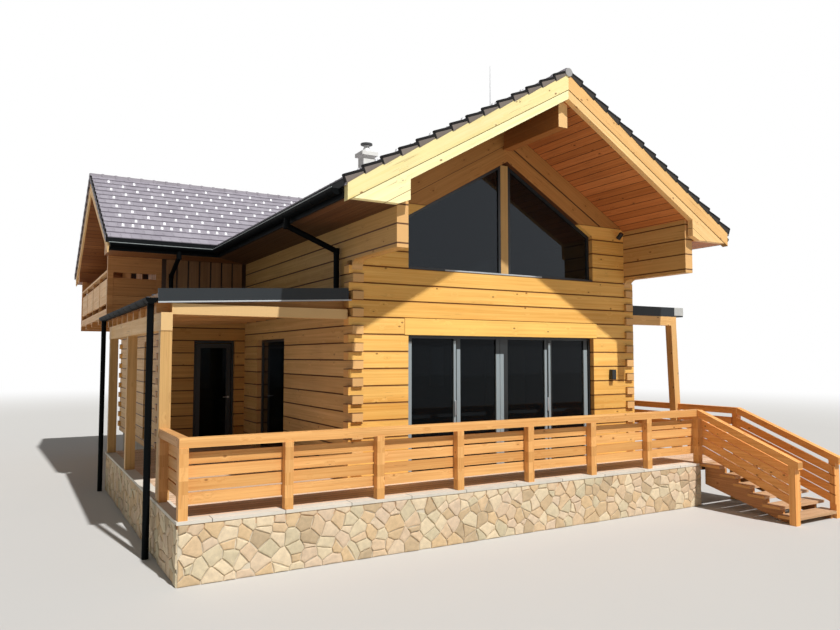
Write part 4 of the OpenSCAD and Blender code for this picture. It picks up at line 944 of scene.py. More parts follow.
# Bare metal: brushed handles with a wide highlight, and a dull galvanised rod
STEEL = BrushedMetal("brushed_stainless_steel", "#C2C6C9", rough=0.3)
ROD = PaintedMetal("galvanised_steel_rod", "#D8DADC", rough=0.4, dust=0.02)
# Coated glass: dark, with slow waves in its mirror images, and a painted reflection, paler on the upper
# panes than on the ground floor's
WINDOW = Glass("coated_float_glass")
# The terrace wall: split stones of many beiges in pale lime mortar
STONE = RubbleStone("split_field_stone")
MORTAR = Masonry("lime_mortar", "#CFC3AC", grit=220.0, relief=0.006)
# Mineral surfaces: sawn stone slabs, render, moulded clay and dull zinc, all matt with fine grit
COPING = Masonry("sawn_sandstone_coping", "#D5CEC0", grit=300.0, relief=0.002, spread=0.08, slab=0.9)
FOOTING = Masonry("cement_render_footing", "#B4AC9F", grit=140.0)
STACK = Masonry("lime_render_stack", "#E6E5DF", grit=110.0, relief=0.005, spread=0.07)
PLATE = Masonry("moulded_clay_ridge_end", "#A09E9C", grit=200.0, relief=0.001, spread=0.08)
ZINC = Masonry("zinc_sheet_flashing", "#B9BAB6", grit=80.0, relief=0.0005, spread=0.06)


@dataclass
class CadFinishes:
    """The finishes of the frame's own nodes."""
    by_finish: Dict[Finish, Tuple[str, ...]] = field(default_factory=lambda: {
        LOG_X: ("front_wall", "east_wall_front", "main_rear_wall"),
        LOG_PORCH: ("porch_wall_left", "porch_wall_right", "porch_wall_over_door"),
        LOG_Y: ("left_wall", "right_wall", "main_left_wall", "main_right_wall"),
        LINTEL: ("front_lintel",),
        RAKE: ("front_bargeboards",),
        RAKE_GABLE: ("gable_boards",),
        RAKE_MAIN: ("main_bargeboards",),
        POST: ("porch_posts", "deck_posts", "gable_post"),
        CANOPY: ("canopy_post",),
        BEAM_Y: ("ridge_purlin",),
        PORCH_BEAM: ("porch_beams",),
        RAFTER: ("porch_rafters",),
        SOFFIT_Y: ("front_roof",),
        SOFFIT_X: ("main_roof", "porch_roof"),
        BEHIND: ("knee_walls", "left_gable_wall", "right_gable_wall"),
        RAIL_FRONT: ("front_railing",),
        RAIL_LEFT: ("left_railing",),
        RAIL_RIGHT: ("right_railing",),
        RAIL_STAIR: ("stair_railings",),
        DECK: ("terrace_deck",),
        FLOOR: ("ground_floor", "upper_floor"),
        TREAD: ("stair_treads",),
        STRINGER: ("stair_stringers",),
        PANEL: ("balcony_side_panels",),
        BALCONY: ("balcony_floor", "balcony_front_rail"),
        TILE: ("front_tiles", "main_tiles"),
        CAP: ("ridge_caps",),
        GUTTER: ("gutters", "downpipes"),
        FASCIA: ("porch_fascia", "canopy_roof"),
        EAVES: ("eaves_fascia",),
        FRAME: ("front_glazing_frame", "gable_window_frame", "window_frames", "door_frame", "door_leaf"),
        WINDOW: ("window_glass", "door_glass"),
        STEEL: ("door_handle",),
        COWL: ("chimney_flue",),
        MORTAR: ("terrace_base",),
        COPING: ("terrace_coping",),
        FOOTING: ("foundation",),
        STACK: ("chimney",),
    })

    def dress(self) -> None:
        """Give every node of the frame its finish."""
        left = set(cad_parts)
        for finish, names in self.by_finish.items():
            for name in names:
                finish.put_on(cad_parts[name])
                left.discard(name)
        log.info("frame nodes without a finish: %s", sorted(left))


@dataclass
class Stage:
    """The pale floor, the plain light, and the camera at the photograph's place."""
    eye: Vec = (-7.52, -18.6, 2.65)
    yaw: float = 30.08
    pitch: float = 3.40
    lens: float = 30.27
    sun_height: float = 53.1
    sun_side: float = 8.2
    sun_strength: float = 4.0
    sun_angle: float = 1.2
    sky: float = 0.15
    floor_size: float = 160.0

    def build(self) -> None:
        """Make the floor, the lamp, the world and the camera."""
        scene = bpy.context.scene
        scene.view_settings.view_transform = "Standard"
        clear()
        bpy.ops.mesh.primitive_grid_add(x_subdivisions=24, y_subdivisions=24, size=self.floor_size,
                                        location=(0.0, -4.0, 0.0))
        floor = bpy.context.object
        floor.name = "studio_floor"
        settle(floor)
        StudioFloor("pale_studio_floor").put_on(floor)
        clear()
        bpy.ops.object.light_add(type="SUN", location=(0.0, -20.0, 25.0), rotation=(
            math.radians(90 - self.sun_height), 0.0, math.radians(self.sun_side)))
        sun = bpy.context.object
        sun.data.energy = self.sun_strength
        sun.data.angle = math.radians(self.sun_angle)
        world = bpy.data.worlds.new("studio")
        scene.world = world
        world.use_nodes = True
        tree = world.node_tree
        tree.nodes.clear()
        ray = add(tree, "LightPath").outputs
        shown = add(tree, "Math", {0: ray["Is Camera Ray"], 1: ray["Is Glossy Ray"]},
                    operation="MAXIMUM").outputs[0]
        shown = add(tree, "Math", {0: shown, 1: ray["Is Transmission Ray"]}, operation="MAXIMUM").outputs[0]
        level = add(tree, "MapRange", {0: shown, 3: self.sky, 4: 1.0}).outputs[0]
        light = add(tree, "Background", {"Color": (1.0, 1.0, 1.0, 1.0), "Strength": level}).outputs[0]
        add(tree, "OutputWorld", {"Surface": light})
        clear()
        bpy.ops.object.camera_add(location=self.eye, rotation=(
            math.radians(90 + self.pitch), 0.0, math.radians(-self.yaw)))
        camera = bpy.context.object
        camera.data.lens = self.lens
        camera.data.sensor_width = 36.0
        camera.data.clip_end = 400.0
        scene.camera = camera
        log.info("stage ready")


@dataclass
class TileCovering:
    """Flat tiles in half bond on the stepped solids of both roofs, their verge tiles and snow guards."""
    rows: int = 14
    half: float = HALF_ROOF
    out: float = 0.04
    eave: float = EAVE
    head: float = 0.050
    butt: float = 0.095
    wide: float = 0.19
    thick: float = 0.010
    joint: float = 0.004
    lip: float = 0.008
    lip_long: float = 0.012
    raised: float = 0.028
    rib_wide: float = 0.030
    rib_high: float = 0.003
    verge_thick: float = 0.015
    verge_top: float = 0.014
    verge_lap: float = 0.016
    verge_rib: float = 0.0165
    verge_inset: float = 0.0140
    guard_up: float = 0.060
    guard_bed: float = 0.014
    guard_clear: float = 0.2
    guard_free: float = 0.15
    wing_end: float = -10.304
    main_end: float = 5.9915
    valley: float = 0.2264
    cap_wide: float = 0.110
    cap_rise: float = 0.080
    cap_step: float = 0.29
    cap_long: float = 0.312
    plate_r: float = 0.070
    plate_thick: float = 0.014
    plate_at: Vec = (0.0, -10.320, 7.148)

    def run(self) -> float:
        """Give one course's width in plan."""
        return (self.half + self.out) / self.rows

    def surface(self, u: float, rise: float, pitch: float) -> float:
        """Give the height of a point over the roof deck.

        Args:
            u: The distance from the ridge in plan.
            rise: The height over the deck, square to it.
            pitch: The slope's pitch in degrees.

        Returns:
            The height in metres.
        """
        angle = math.radians(pitch)
        return self.eave + (self.half - u) * math.tan(angle) + rise / math.cos(angle)

    def course(self, row: int, pitch: float) -> Tuple[Vector, float, float]:
        """Give a course's upper end, its tilt and its length along the slope."""
        top = Vector((row * self.run(), 0.0, self.surface(row * self.run(), self.head, pitch)))
        low = Vector(((row + 1) * self.run(), 0.0, self.surface((row + 1) * self.run(), self.butt, pitch)))
        return top, math.atan2(top.z - low.z, low.x - top.x), (low - top).length

    def tile(self, pitch: float) -> Stock:
        """Model one tile: a flat slab with eased edges, a low rib and a lip that hangs down.

        Args:
            pitch: The slope's pitch in degrees.

        Returns:
            The tile, with its upper end at the origin and its length along +X.
        """
        length = self.course(0, pitch)[2] + 0.014
        rib, lip = self.wide / 2 - self.rib_wide, length - self.lip_long
        clear()
        bpy.ops.mesh.primitive_cube_add(size=1.0)
        piece = bpy.context.object
        piece.scale = (length, self.wide - self.joint, self.thick)
        piece.location = (length / 2, 0.0, self.thick / 2 + 0.002)
        settle(piece)
        split(piece, (0.0, rib, 0.0), (0.0, 1.0, 0.0))
        draw_out(piece, lambda face: face.normal.z > 0.9 and face.center.y > rib,
                 (0.0, 0.0, self.rib_high))
        split(piece, (lip, 0.0, 0.0), (1.0, 0.0, 0.0))
        draw_out(piece, lambda face: face.normal.z < -0.9 and face.center.x > lip,
                 (0.0, 0.0, -self.lip))
        # The upper end is raised under the course above, so that the step between courses stays low
        pick(piece, lambda face: face.normal.x < -0.9 and face.center.x < 0.001)
        bpy.ops.transform.translate(value=(0.0, 0.0, self.raised))
        bpy.ops.object.mode_set(mode="OBJECT")
        edge_bevel(piece, 0.002)
        return Stock.of(piece)

    def verge(self, name: str, pitch: float, y: Tuple[float, float], z: Tuple[float, float],
              ends: Tuple[float, float], ease: float) -> bpy.types.Object:
        """Model a bar along a verge tile.

        Args:
            name: The bar's name.
            pitch: The slope's pitch in degrees.
            y: Its sides.
            z: Its underside and its top.
            ends: Where it starts, and how far it runs on past the course.
            ease: The width of its eased edges.

        Returns:
            The bar.
        """
        length = self.course(0, pitch)[2]
        return board(name, (ends[0], y[0], z[0]), (length + ends[1], y[1], z[1]), ease, 2)

    def wedge(self, pitch: float) -> Stock:
        """Model the side of a front verge tile, which tapers towards the tile above.

        Args:
            pitch: The slope's pitch in degrees.

        Returns:
            The side, with its upper end at the origin.
        """
        piece = self.verge("wedge", pitch, (0.0, self.verge_thick), (-0.020, self.verge_top),
                           (0.012, self.verge_lap), 0.0)
        pick(piece, lambda face: face.normal.x > 0.9)
        bpy.ops.transform.resize(value=(1.0, 1.0, 2.9), center_override=(0.0, 0.0, self.verge_top))
        bpy.ops.object.mode_set(mode="OBJECT")
        edge_bevel(piece, 0.003, 2)
        return Stock.of(piece)

    def hook(self, pitch: float) -> Stock:
        """Model the dark lower end of a verge tile."""
        start = self.course(0, pitch)[2] - 0.002
        sides = (-self.verge_rib, self.verge_rib)
        return Stock.of(self.verge("hook", pitch, sides, (-0.070, 0.040), (start, 0.026), 0.004))

    def flap(self, pitch: float) -> Stock:
        """Model the side of a verge tile, which hangs over the bargeboard and laps the next one."""
        return Stock.of(self.verge("flap", pitch, (0.0, self.verge_thick), (-0.085, self.verge_top),
                                   (0.012, self.verge_lap), 0.004))

    def rib(self, pitch: float) -> Stock:
        """Model the rib along the top of a verge tile, which keeps the rain on the roof."""
        sides = (-self.verge_rib, self.verge_rib)
        return Stock.of(self.verge("rib", pitch, sides, (0.004, 0.046), (0.004, 0.020), 0.008))

    def bargeboards(self) -> None:
        """Model the front bargeboards' faces: an upper board, a lower one behind it, and its wide foot."""
        slope = math.tan(math.radians(WING_PITCH))
        ridge = self.eave + self.half * slope
        upper, lower, foot = 0.215, 0.36, 1.9
        upper_faces, lower_faces = (-10.311, -10.2645), (-10.304, -10.2325)
        foot_in, foot_out, foot_low, slant = 2.86, 3.722, 4.72, (-0.07, -0.18)
        row = Row("front_bargeboard_faces", 35)
        for side in (-1.0, 1.0):
            parts = (((0.0, self.half), (ridge + 0.042, ridge - upper), 0.0, upper_faces),
                     ((0.0, foot_in + 0.0005), (ridge - upper - 0.0005, ridge - lower), 0.0, lower_faces),
                     ((foot_in, foot_out), (ridge - upper - 0.0005, ridge - foot), foot_low, lower_faces))
            for (x0, x1), (high, low), floor, (y0, y1) in parts:
                ends = sorted((side * x0, side * x1))
                piece = board("face", (ends[0], y0, 4.0), (ends[1], y1, 8.0), 0.0)
                trim(piece, (0.0, 0.0, high), (side * slope, 0.0, 1.0))
                trim(piece, (0.0, 0.0, low), (-side * slope, 0.0, -1.0))
                if floor:
                    trim(piece, (0.0, 0.0, floor), (0.0, 0.0, -1.0))
                    trim(piece, (side * 3.04, 0.0, floor), (side * slant[0], 0.0, slant[1]))
                row.lay(Stock.of(edge_bevel(piece, 0.002)), Matrix.Identity(4))
        hand_over(row.make(), RAKE)

    def guard(self) -> Stock:
        """Model one snow guard: a wedge of folded sheet, whose face leans back.

        Returns:
            The guard, with its foot at the origin.
        """
        long, across, high = 0.056, 0.052, 0.050
        clear()
        bpy.ops.mesh.primitive_cube_add(size=1.0, location=(-0.022, 0.0, high / 2))
        piece = bpy.context.object
        piece.scale = (long, across, high)
        settle(piece)
        pick(piece, lambda face: face.normal.z > 0.9)
        bpy.ops.transform.resize(value=(0.14, 0.86, 1.0), center_override=(-0.040, 0.0, 0.0))
        bpy.ops.object.mode_set(mode="OBJECT")
        edge_bevel(piece, 0.002)
        return Stock.of(piece)

    def guarded(self, row: int, place: int) -> bool:
        """Tell whether a tile has a snow guard: every third one, and all in the third course from below."""
        if row == self.rows - 3:
            return True
        return 0 < row < self.rows - 3 and place % 3 == (row % 2) * 2

    def slope(self, name: str, turn: float, pitch: float, first: float, last: float, seed: int,
              cuts: Sequence[Tuple[Vec, Vec]], verges: Sequence[Tuple[float, float]]) -> None:
        """Lay the courses of one slope, its verge tiles and its snow guards.

        Args:
            name: The slope's name.
            turn: The angle about Z from +X to the direction of fall.
            pitch: The slope's pitch in degrees.
            first: Where the courses start along the ridge, in the slope's own frame.
            last: Where they end.
            seed: The seed of the tones.
            cuts: Planes that end the slope, each a point and the side that is cut away.
            verges: Places along the ridge of the verge tiles' outer faces, each with the way they face.
        """
        tile, guard, rib, hook = self.tile(pitch), self.guard(), self.rib(pitch), self.hook(pitch)
        flap = self.wedge(pitch) if pitch == WING_PITCH else self.flap(pitch)
        rows, guards = Row(name + "_tiles", seed), Row(name + "_snow_guards", seed)
        shade_strip = Row(name + "_eave_painted_shade_strip", seed)
        flaps, ribs = Row(name + "_verge_tiles", seed + 1), Row(name + "_verge_ribs", seed + 2)
        around = Matrix.Rotation(turn, 4, "Z")
        for course in range(self.rows):
            top, angle, length = self.course(course, pitch)
            tilt = Matrix.Rotation(angle, 4, "Y")
            start = first - (course % 2) * self.wide / 2
            count = int((last - start) / self.wide) + 1
            for i in range(count):
                v = start + (i + 0.5) * self.wide
                settled = around @ Matrix.Translation((top.x, v, top.z)) @ tilt
                rows.lay(tile, settled)
                if self.guarded(course, i) and first + self.guard_clear < v < last - self.guard_clear:
                    place = settled @ Matrix.Translation((length - self.guard_up, 0.0, self.guard_bed))
                    # Guards keep clear of the valleys and the roof's ends
                    reach = [(place.translation - Vector(p)).dot(Vector(n)) for p, n in cuts]
                    if max(reach) < -self.guard_free:
                        guards.lay(guard, place)
            for v, side in verges:
                inner = v - self.verge_thick if side > 0 else v
                flaps.lay(flap, around @ Matrix.Translation((top.x, inner, top.z)) @ tilt)
                edge = around @ Matrix.Translation((top.x, v - self.verge_inset * side, top.z)) @ tilt
                ribs.lay(rib, edge)
                ribs.lay(hook, edge)
        # A dark strip under the lowest course, in the eaves' coat: painted shade of the gap between the
        # tiles and the gutter
        edge = self.half + self.out
        low, high = self.surface(edge, 0.0, pitch) + 0.001, self.surface(edge, self.butt, pitch) - 0.006
        upright = board("shade_strip", (edge + 0.0005, first, low), (edge + 0.006, last, high), 0.0)
        shade_strip.lay(Stock.of(upright), around)
        for row, finish in ((rows, TILE), (shade_strip, EAVES)):
            piece = row.make()
            for through, normal in cuts:
                trim(piece, through, normal)
            hand_over(piece, finish)
        hand_over(guards.make(), GUARD)
        if verges:
            hand_over(flaps.make(), VERGE if name == "wing_left" else VERGE_DARK)
            hand_over(ribs.make(), RIB)

    def cap(self) -> Stock:
        """Model one ridge cap: half an arch of clay that widens to its lapping end.

        Returns:
            The cap along +X, one metre in half width and height, to be sized by who lays it.
        """
        clear()
        bpy.ops.mesh.primitive_circle_add(vertices=28, radius=1.0, fill_type="NOTHING",
                                          rotation=(math.pi / 2, 0.0, math.pi / 2))
        piece = bpy.context.object
        settle(piece)
        bpy.ops.object.mode_set(mode="EDIT")
        bpy.ops.mesh.select_all(action="SELECT")
        bpy.ops.mesh.bisect(plane_co=(0.0, 0.0, -0.001), plane_no=(0.0, 0.0, 1.0), clear_inner=True)
        bpy.ops.mesh.select_all(action="SELECT")
        bpy.ops.mesh.extrude_region_move(TRANSFORM_OT_translate={"value": (0.25, 0.0, 0.0)})
        bpy.ops.mesh.extrude_region_move(TRANSFORM_OT_translate={"value": (0.012, 0.0, 0.0)})
        bpy.ops.transform.resize(value=(1.0, 1.10, 1.10), center_override=(0.0, 0.0, 0.0))
        bpy.ops.mesh.extrude_region_move(TRANSFORM_OT_translate={"value": (0.05, 0.0, 0.0)})
        bpy.ops.object.mode_set(mode="OBJECT")
        return Stock.of(piece)

    def cap_row(self, row: Row, cap: Stock, pitch: float, spans: Sequence[Tuple[float, float]],
                along: Matrix) -> None:
        """Lay the ridge caps of one roof, from its ends inwards.

        Args:
            row: The row that they join.
            cap: One cap.
            pitch: The roof's pitch in degrees.
            spans: Where each line of caps starts and ends along the ridge.
            along: The turn from +X to the ridge.
        """
        bed = self.head + (self.butt - self.head) * self.cap_wide / self.run()
        low = self.surface(self.cap_wide, bed, pitch) + 0.012
        high = self.surface(0.0, self.head, pitch) + self.cap_rise
        size = Matrix.Diagonal((1.0, self.cap_wide + 0.003, high - low + 0.004, 1.0))
        for start, end in spans:
            count = round(abs(start - end) / self.cap_step)
            step = (end - start) / count
            facing = Matrix.Rotation(0.0 if step > 0 else math.pi, 4, "Z")
            for i in range(count):
                place = along @ Matrix.Translation((start + i * step, 0.0, low)) @ facing
                spare = min(1.0, abs(end - start - i * step) / self.cap_long)
                row.lay(cap, place @ size @ Matrix.Diagonal((spare, 1.0, 1.0, 1.0)))

    def caps(self) -> None:
        """Lay the ridge caps of both roofs, and close the front end with a plate."""
        cap = self.cap()
        row = Row("ridge_cap_covers", 31)
        across = Matrix.Rotation(math.pi / 2, 4, "Z")
        self.cap_row(row, cap, WING_PITCH, ((-10.30, -0.02),), across)
        self.cap_row(row, cap, MAIN_PITCH, ((5.98, 0.36), (-5.98, -0.36)), Matrix.Identity(4))
        piece = modified(row.make(), "SOLIDIFY", thickness=0.010, offset=-1.0)
        hand_over(piece, CAP)
        clear()
        bpy.ops.mesh.primitive_cylinder_add(vertices=32, radius=self.plate_r, depth=self.plate_thick,
                                            location=self.plate_at, rotation=(math.pi / 2, 0.0, 0.0))
        plate = bpy.context.object
        plate.name = "ridge_end_plate"
        settle(plate)
        edge_bevel(plate, 0.004, 2)
        hand_over(plate, PLATE)

    def build(self) -> None:
        """Lay all four slopes, cut along the valleys, and the ridge caps."""
        wing = ((0.0, self.wing_end, 0.0), (0.0, -1.0, 0.0))
        end = ((0.0, 0.0, 0.0), (0.0, 1.0, 0.0))
        ends = [((side * self.main_end, 0.0, 0.0), (side, 0.0, 0.0)) for side in (-1.0, 1.0)]
        length = -self.wing_end
        across = Vector((self.half, self.half - self.valley, 0.0)).normalized()
        for side, label in ((1.0, "right"), (-1.0, "left")):
            through = (side * self.valley, 0.0, 0.0)
            cut = (through, (side * across.x, across.y, 0.0))
            low, high, turn = (-length, 0.3, 0.0) if side > 0 else (-0.3, length, math.pi)
            verge = (-length - 0.012, -1.0) if side > 0 else (length + 0.012, 1.0)
            self.slope("wing_" + label, turn, WING_PITCH, low, high, 3 + int(side), (wing, end, cut),
                       (verge,))
            low, high = (0.1, self.main_end) if side > 0 else (-self.main_end, -0.1)
            beyond = (through, (-side * across.x, -across.y, 0.0))
            self.slope("main_front_" + label, -math.pi / 2, MAIN_PITCH, low, high, 13 + int(side),
                       (ends[1 if side > 0 else 0], beyond), ((side * (self.main_end - 0.003), side),))
        both = ((0.003 - self.main_end, -1.0), (self.main_end - 0.003, 1.0))
        self.slope("main_rear", math.pi / 2, MAIN_PITCH, -self.main_end, self.main_end, 11, ends, both)
        self.bargeboards()
        self.caps()


@dataclass
class Cladding:
    """Upright boards with dark gaps on the upper storey's walls."""
    low: float = 3.541
    high: float = 4.715
    wide: float = 0.2
    pitch: float = CLAD_PITCH
    thick: float = 0.022
    half_l: float = 4.8
    half_d: float = 3.0
    half_w: float = 3.0
    openings: Tuple[Tuple[float, float, float, float], ...] = (
        (-1.45, -0.55, 3.541, 5.641), (0.4, 1.4, 4.441, 5.641))

    def strip(self, name: str, start: float, end: float, y: float, side: float) -> None:
        """Board a wall that runs along X.

        Args:
            name: The piece's name.
            start: Where the wall starts along X.
            end: Where it ends.
            y: The wall's face.
            side: The direction that the wall faces along Y.
        """
        stock = Stock.of(board("board", (0.0, 0.0, 0.0), (self.wide, self.thick, self.high - self.low)))
        row = Row(name, 3)
        count = int((end - start - self.wide) / self.pitch) + 1
        spare = end - start - ((count - 1) * self.pitch + self.wide)
        for i in range(count):
            x = start + spare / 2 + i * self.pitch
            row.lay(stock, Matrix.Translation((x, y if side > 0 else y - self.thick, self.low)))
        hand_over(row.make(), CLAD)

    def gable(self, name: str, x: float, side: float) -> None:
        """Board a gable above the eaves, round its door and window.

        Args:
            name: The piece's name.
            x: The wall's face.
            side: The direction that the wall faces along X.
        """
        angle = math.radians(MAIN_PITCH)
        top = EAVE + HALF_ROOF * math.tan(angle) - ROOF_THICK
        stock = Stock.of(board("board", (0.0, 0.0, 0.0), (self.thick, self.wide, top - self.low)))
        row = Row(name, 5)
        count = int((2 * self.half_d - self.wide) / self.pitch) + 1
        spare = 2 * self.half_d - ((count - 1) * self.pitch + self.wide)
        for i in range(count):
            y = -self.half_d + spare / 2 + i * self.pitch
            row.lay(stock, Matrix.Translation((x if side > 0 else x - self.thick, y, self.low)))
        piece = row.make()
        ridge = (x, 0.0, top - 0.004)
        trim(piece, ridge, (0.0, math.sin(angle), math.cos(angle)))
        trim(piece, ridge, (0.0, -math.sin(angle), math.cos(angle)))
        for y0, y1, z0, z1 in self.openings:
            cutter = board("cutter", (x - 0.2, y0, z0 - 0.001), (x + 0.2, y1, z1), 0.0)
            modified(piece, "BOOLEAN", object=cutter, operation="DIFFERENCE")
            bpy.data.objects.remove(cutter)
        hand_over(piece, CLAD_END)

    def build(self) -> None:
        """Board every wall of the upper storey."""
        self.strip("front_left_cladding", -self.half_l, -self.half_w, -self.half_d, -1.0)
        self.strip("front_right_cladding", self.half_w, self.half_l, -self.half_d, -1.0)
        self.strip("rear_cladding", -self.half_l, self.half_l, self.half_d, 1.0)
        self.gable("left_gable_cladding", -self.half_l, -1.0)
        self.gable("right_gable_cladding", self.half_l, 1.0)


@dataclass
class BalconyBoards:
    """Planks on the balcony's front panels and on its sides."""
    x: float = -5.85
    first: float = -2.8897
    bay: float = 1.431
    bays: int = 4
    low: float = 3.760
    high: float = 4.271
    gap: float = 0.004
    side_wide: float = 0.83
    side_thick: float = 0.022
    side_low: float = 3.555
    side_step: float = 0.176
    strip_low: float = 4.668
    faces: Tuple[float, float] = (-3.0 + 0.007, 2.89 + 0.061)

    def fronts(self) -> None:
        """Model the front panels' planks, three over each other in each bay."""
        row = Row("balcony_front_boards", 9)
        high = (self.high - self.low - 2 * self.gap) / 3
        stock = Stock.of(board("plank", (0.0, 0.0, 0.0), (0.016, self.bay - 0.066, high), 0.003))
        for i in range(self.bays):
            y = self.first + i * self.bay + 0.059
            for k in range(3):
                row.lay(stock, Matrix.Translation((self.x + 0.015, y, self.low + k * (high + self.gap))))
        hand_over(row.make(), BALCONY)

    def sides(self) -> None:
        """Model the sides' planks, and the narrow strip over the slot."""
        row = Row("balcony_side_boards", 10)
        size = (self.side_wide, self.side_thick)
        plank = Stock.of(board("plank", (0.0, 0.0, 0.0), (*size, self.side_step - self.gap)))
        strip = Stock.of(board("strip", (0.0, 0.0, 0.0), (*size, 0.051)))
        for y in self.faces:
            for i in range(4):
                row.lay(plank, Matrix.Translation((self.x + 0.11, y, self.side_low + i * self.side_step)))
            row.lay(strip, Matrix.Translation((self.x + 0.11, y, self.strip_low)))
        hand_over(row.make(), PANEL)

    def build(self) -> None:
        """Model the planks."""
        self.fronts()
        self.sides()


@dataclass
class StoneFacing:
    """Split stones in mortar on the terrace wall."""
    top: float = 0.706
    gap: float = 0.008
    smallest: float = 0.004
    course: float = 0.122
    edge: float = 0.004
    shortest: float = 0.12
    longest: float = 0.30
    stray_x: float = 0.05
    stray_z: float = 0.045
    neighbour: float = 1.0

    def cells(self, length: float, seed: int) -> List[List[Tuple[float, float]]]:
        """Divide a long low wall into irregular stones.

        Args:
            length: The wall's length.
            seed: The seed of the stones' places.

        Returns:
            The outline of each stone in the wall's plane.
        """
        chance = random.Random(seed)
        seeds: List[Tuple[float, float]] = []
        z = 0.06
        row = 0
        while z < self.top:
            x = -0.1 + (row % 2) * 0.09
            while x < length + 0.2:
                seeds.append((x + chance.uniform(-self.stray_x, self.stray_x),
                              z + chance.uniform(-self.stray_z, self.stray_z)))
                x += chance.uniform(self.shortest, self.longest)
            z += self.course
            row += 1
        outlines = []
        weights = {seed_of: chance.uniform(-0.006, 0.006) for seed_of in seeds}
        for px, pz in seeds:
            left, right = self.edge, length - self.edge
            shape = [(left, left), (right, left), (right, self.top), (left, self.top)]
            for qx, qz in seeds:
                dx, dz = qx - px, qz - pz
                far = math.hypot(dx, dz)
                if far < 1e-6 or far > self.neighbour:
                    continue
                bias = weights[(px, pz)] - weights[(qx, qz)]
                limit = far / 2 + bias / (2 * far) - self.gap / 2
                shape = self.cut(shape, px, pz, dx / far, dz / far, limit)
                if len(shape) < 3:
                    break
            if len(shape) >= 3:
                outlines.append(self.broken(shape, chance))
        return outlines

    @staticmethod
    def broken(shape: List[Tuple[float, float]], chance: random.Random) -> List[Tuple[float, float]]:
        """Break an outline's long edges a little, inwards.

        Args:
            shape: The outline.
            chance: The wall's own chance.

        Returns:
            The outline with a new point in each long edge.
        """
        rough = []
        cx = sum(p[0] for p in shape) / len(shape)
        cz = sum(p[1] for p in shape) / len(shape)
        for i, a in enumerate(shape):
            b = shape[(i + 1) % len(shape)]
            rough.append(a)
            if math.hypot(b[0] - a[0], b[1] - a[1]) > 0.07:
                share = chance.uniform(0.35, 0.65)
                x, z = a[0] + (b[0] - a[0]) * share, a[1] + (b[1] - a[1]) * share
                far = math.hypot(cx - x, cz - z)
                inward = chance.uniform(0.0, 0.008) / far
                rough.append((x + (cx - x) * inward, z + (cz - z) * inward))
        return rough

    @staticmethod
    def cut(shape: List[Tuple[float, float]], px: float, pz: float, nx: float, nz: float,
            limit: float) -> List[Tuple[float, float]]:
        """Keep the part of an outline that lies nearer than a limit along a direction.

        Args:
            shape: The outline.
            px: The point that distances start from, along the wall.
            pz: Its height.
            nx: The direction, along the wall.
            nz: Its height.
            limit: The greatest distance that is kept.

        Returns:
            The outline that is left.
        """
        kept = []
        for i, a in enumerate(shape):
            b = shape[(i + 1) % len(shape)]
            da = (a[0] - px) * nx + (a[1] - pz) * nz - limit
            db = (b[0] - px) * nx + (b[1] - pz) * nz - limit
            if da <= 0:
                kept.append(a)
            if da * db < 0:
                t = da / (da - db)
                kept.append((a[0] + (b[0] - a[0]) * t, a[1] + (b[1] - a[1]) * t))
        return kept

    @staticmethod
    def ring(shape: Sequence[Tuple[float, float]], share: float) -> List[Tuple[float, float]]:
        """Draw an outline in towards its middle by a share of its size."""
        cx = sum(p[0] for p in shape) / len(shape)
        cz = sum(p[1] for p in shape) / len(shape)
        return [(x + (cx - x) * share, z + (cz - z) * share) for x, z in shape]

    @staticmethod
    def area(shape: Sequence[Tuple[float, float]]) -> float:
        """Give an outline's area in square metres."""
        after = list(shape[1:]) + [shape[0]]
        return abs(sum(a[0] * b[1] - b[0] * a[1] for a, b in zip(shape, after)) / 2)

    def stone(self, shape: List[Tuple[float, float]], chance: random.Random, origin: Vector,
              way: Vector) -> Stock:
        """Model one stone: its outline, drawn in and out to a crown that leans a little.

        Args:
            shape: The outline in the wall's plane.
            chance: The wall's own chance.
            origin: The wall's lower corner.
            way: The wall's direction.

        Returns:
            The stone in its place.
        """
        out = Vector((way.y, -way.x, 0.0))
        depth = chance.choice((0.010, 0.014, 0.018))
        reach = math.sqrt(self.area(shape) / math.pi)
        rings = [(shape, 0.0), (self.ring(shape, 0.001 / reach), depth * 0.6),
                 (self.ring(shape, 0.008 / reach), depth), (self.ring(shape, 0.35), depth + 0.003)]
        count = len(shape)
        lean = (chance.uniform(-0.012, 0.012), chance.uniform(-0.012, 0.012))
        mid = (sum(p[0] for p in shape) / count, sum(p[1] for p in shape) / count)
        points, faces = [], []
        for outline, deep in rings:
            for x, z in outline:
                tilt = (x - mid[0]) * lean[0] * 3 + (z - mid[1]) * lean[1] * 3 if deep else 0.0
                points.append(origin + way * x + Vector((0.0, 0.0, z)) + out * (deep + tilt))
        for k in range(len(rings) - 1):
            for i in range(count):
                j = (i + 1) % count
                faces.append((k * count + i, k * count + j, (k + 1) * count + j, (k + 1) * count + i))
        faces.append(tuple(range((len(rings) - 1) * count, len(rings) * count)))
        return Stock(np.array([p[:] for p in points]), faces)

    def face(self, name: str, start: Vec, along: Vec, length: float, seed: int) -> None:
        """Face one side of the wall with stones, without the smallest chips.

        Args:
            name: The piece's name.
            start: The wall's lower corner.
            along: The wall's direction.
            length: Its length.
            seed: The seed of the stones.
        """
        chance = random.Random(seed + 100)
        row = Row(name, seed)
        for shape in self.cells(length, seed):
            if self.area(shape) >= self.smallest:
                row.lay(self.stone(shape, chance, Vector(start), Vector(along)), Matrix.Identity(4))
        piece = row.make()
        outwards(piece)
        hand_over(piece, STONE)

